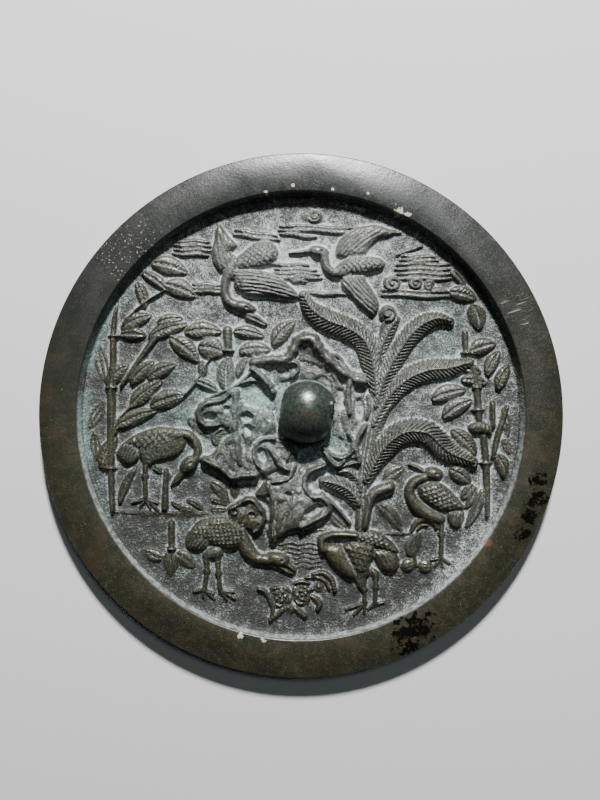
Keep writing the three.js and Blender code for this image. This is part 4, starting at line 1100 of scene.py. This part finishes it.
def bronze():
    n = Nodes("worn_bronze")
    lift, hollow, pale, foot, low, rim, knob_share, near_rock = (
        n.attribute(name) for name in ("lift", "hollow", "pale", "foot", "low", "rim", "knob", "green")
    )
    patch, fine = n.noise(9, 5, 0.6), n.noise(2.2, 5, 0.65)
    grain, sand = n.noise(0.9, 3, 0.7), n.noise(0.45, 2, 0.6)

    # Bare metal of the raised forms, greyed where pale: partly dust, partly a painted sheen on the forms
    # towards the top
    metal = n.mix(n.between(patch, 0.4, 0.65), DARK_BRONZE, BROWN_BRONZE)
    metal = n.mix(n.between(pale, -0.1, 0.4), metal, GREY_DUST_AND_SHEEN_BRONZE)
    green = n.times(near_rock, n.between(patch, 0.34, 0.54))
    metal = n.mix(n.times(green, 0.4), metal, GREEN_BRONZE)

    # Ground between them, from dark to dusty, with green near the rock and pale edges along the forms
    share = n.plus(pale, n.between(sand, 0.36, 0.64, -0.36, 0.4))
    share = n.plus(share, n.between(fine, 0.35, 0.65, -0.3, 0.26))
    share = n.plus(share, n.between(hollow, 0.55, 0.9, 0.0, 0.4))
    share = n.plus(share, n.between(patch, 0.35, 0.65, -0.16, 0.16), clamp=True)
    speckle = n.times(near_rock, n.between(grain, 0.4, 0.6, -0.35, 0.2))
    share = n.plus(share, speckle, clamp=True)
    ground = n.mix(share, DUSK, DUST)
    green = n.times(green, n.between(sand, 0.35, 0.65, 0.35, 1.0))
    ground = n.mix(n.times(green, 0.65), ground, VERDIGRIS)
    feet = n.times(n.between(hollow, 0.64, 0.92), n.between(pale, -0.1, 0.6, 0.2, 0.55))
    feet = n.times(feet, n.between(grain, 0.38, 0.6, 0.1, 1.0))
    ground = n.mix(feet, ground, PALE_DUST_AND_HIGHLIGHT)

    # How much of the ground's dust covers the metal
    dusty = n.plus(n.between(lift, 0.06, 0.4, 0.95, 0.0), n.between(hollow, 0.51, 0.72, 0.0, 0.7))
    dusty = n.plus(dusty, n.between(grain, 0.38, 0.62, -0.25, 0.25))
    settled = n.plus(n.between(pale, 0.0, 0.7, -0.08, 0.35), n.times(near_rock, 0.3))
    settled = n.times(settled, n.between(lift, 0.4, 1.0, 1.0, 0.3))
    dusty = n.plus(dusty, settled, clamp=True)
    field = n.mix(dusty, metal, ground)

    # Rim, with its crusts, specks and scratches, and a painted reflection: a cool tint on its upper part for
    # the sky its sheen reflects
    rim_tone = n.mix(n.between(patch, 0.42, 0.68), RIM_BRONZE, RIM_BROWN)
    # Painted reflection: the cool sky tint at the top of the rim, fading to the bronze towards the bottom
    rim_tone = n.mix(low, RIM_SKY_REFLECTION_TINT, rim_tone)
    worn = n.times(n.between(sand, 0.44, 0.64, 0.0, 0.9), n.between(fine, 0.38, 0.62, 0.1, 1.0))
    worn = n.times(worn, n.attribute("worn"))
    rim_tone = n.mix(worn, rim_tone, RIM_PALE)
    rim_tone = n.mix(n.spots([REDDISH], 0.6), rim_tone, RED_SPOT)
    crust = n.spots(CRUSTS, 1.2)
    rim_tone = n.mix(crust, rim_tone, BLACK_CRUST)
    speckled = n.times(n.spots([SPECKLED], 0.2), n.between(n.noise(0.8, 2, 0.5), 0.64, 0.7))
    scattered = n.between(n.noise(0.8, 2, 0.5), 0.76, 0.79)
    specks = n.math("MAXIMUM", speckled, scattered)
    scratch = n.between(n.noise(0.5, 1, 0.5, stretch=(0.06, 1, 1), turn=SCRATCH_TURN), 0.62, 0.7)
    scratch = n.times(scratch, n.spots([SCRATCHED], 0.3))
    specks = n.math("MAXIMUM", specks, n.times(scratch, 0.8))
    rim_tone = n.mix(n.times(specks, 0.55), rim_tone, PALE_SPECK)

    # All together, with a painted highlight: a pale line along the rim's inner wall on its lower, lamp-facing
    # side
    colour = n.mix(rim, field, rim_tone)
    # Painted highlight along the rim's inner wall, broken up by noise
    painted_edge_highlight = n.times(foot, n.between(fine, 0.35, 0.6, 0.25, 0.9))
    colour = n.mix(painted_edge_highlight, colour, PALE_DUST_AND_HIGHLIGHT)
    colour = n.mix(n.spots(SPECKS, 0.8), colour, PALE_SPECK)

    # Knob
    knob_tone = n.mix(n.between(n.noise(1.2, 5, 0.85), 0.42, 0.57), KNOB_DARK, KNOB_BRONZE)
    reddened = n.times(n.between(n.noise(1.5, 4, 0.7), 0.5, 0.6), n.spots([KNOB_REDDENED], 0.5))
    knob_tone = n.mix(reddened, knob_tone, KNOB_RED)
    knob_tone = n.mix(n.spots([KNOB_LIP], 0.6), knob_tone, PALE_SPECK)
    colour = n.mix(knob_share, colour, knob_tone)
    n.link(colour, n.shader.inputs["Base Color"])

    gloss = n.blend(dusty, n.between(fine, 0.3, 0.7, 0.24, 0.38), 0.62)
    uneven = n.plus(n.times(patch, 0.5), n.times(sand, 0.5))
    gloss = n.blend(rim, gloss, n.between(uneven, 0.35, 0.65, 0.27, 0.4))
    gloss = n.blend(knob_share, gloss, n.between(fine, 0.3, 0.7, 0.2, 0.34))
    n.link(gloss, n.shader.inputs["Roughness"])
    n.link(n.blend(n.times(crust, rim), 0.5, 0.0), n.shader.inputs["Specular IOR Level"])
    metallic = n.blend(dusty, 0.35, 0.05)
    metallic = n.blend(rim, metallic, 0.1)
    metallic = n.blend(knob_share, metallic, 0.3)
    n.link(metallic, n.shader.inputs["Metallic"])

    graininess = n.blend(rim, n.blend(dusty, 0.35, 1.0), 0.15)
    graininess = n.blend(knob_share, graininess, 0.2)
    coarse = n.bump(n.times(fine, graininess), GRAIN_DEPTH)
    sandy = n.bump(n.times(grain, graininess), GRAIN_DEPTH, below=coarse)
    n.link(sandy, n.shader.inputs["Normal"])
    return n.material


def casting():
    heights = draw_relief()
    thing = disc(heights)
    combine(thing, knob(), "UNION")
    combine(thing, cord_hole(), "DIFFERENCE")
    thin_out(thing)
    keep_inside(thing)
    mesh = thing.data
    mesh.polygons.foreach_set("use_smooth", ~on_rim_top(mesh))
    mesh.set_sharp_from_angle(angle=SHARP_FROM)
    mark_surface(thing, heights)
    mesh.materials.clear()
    mesh.materials.append(bronze())
    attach(thing, "root")
    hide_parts("bronze_mirror")


# Floor, lamps (name, place, size, power in watts, colour) and room light. Lengths are in metres.
FLOOR_SIZE = 6
FLOOR_DROP = 0.0002
FLOOR_COLOUR = (0.42, 0.435, 0.42, 1)
LAMPS = (
    ("key", (0.07, 0.89, 0.77), 0.14, 56, (1, 1, 1)),
    ("sky", (0.25, 0.57, 1.5), 0.45, 3.8, (0.86, 0.94, 1.0)),
)
ROOM_COLOUR = (0.95, 0.98, 1.0, 1)
ROOM_STRENGTH = 0.012


def floor():
    bpy.ops.mesh.primitive_plane_add(size=FLOOR_SIZE, location=(0, 0, -FLOOR_DROP))
    ground = bpy.context.object
    ground.name = "floor"
    n = Nodes("pale_floor")
    n.shader.inputs["Base Color"].default_value = FLOOR_COLOUR
    n.shader.inputs["Roughness"].default_value = 0.8
    ground.data.materials.append(n.material)


def aim_at_centre(thing):
    way = -np.array(thing.location)
    flat = math.hypot(way[0], way[1])
    thing.rotation_euler = (math.atan2(flat, -way[2]), 0, math.atan2(way[1], way[0]) - math.pi / 2)


def lamp(name, place, size, power, colour):
    light = bpy.data.lights.new(name, "AREA")
    light.shape = "DISK"
    light.size = size
    light.energy = power
    light.color = colour
    thing = bpy.data.objects.new(name, light)
    bpy.context.scene.collection.objects.link(thing)
    thing.location = place
    aim_at_centre(thing)


def studio():
    for values in LAMPS:
        lamp(*values)
    world = bpy.data.worlds.new("soft_room")
    world.use_nodes = True
    background = world.node_tree.nodes["Background"]
    background.inputs["Color"].default_value = ROOM_COLOUR
    background.inputs["Strength"].default_value = ROOM_STRENGTH
    bpy.context.scene.world = world


# The camera looks straight down, with the disc's centre where the photograph has it
VIEW_DISTANCE = 320.0
VIEW_LONG_SIDE = 298.67
CAMERA_SENSOR = 36.0
CAMERA_SHIFT = (-0.37, 5.79)


def camera():
    data = bpy.data.cameras.new("camera")
    data.sensor_width = CAMERA_SENSOR
    data.lens = CAMERA_SENSOR * VIEW_DISTANCE / VIEW_LONG_SIDE
    data.clip_start = 0.01
    thing = bpy.data.objects.new("camera", data)
    bpy.context.scene.collection.objects.link(thing)
    thing.location = (CAMERA_SHIFT[0] * MM, CAMERA_SHIFT[1] * MM, (RIM_THICKNESS + VIEW_DISTANCE) * MM)
    bpy.context.scene.camera = thing


camera()
casting()
floor()
studio()
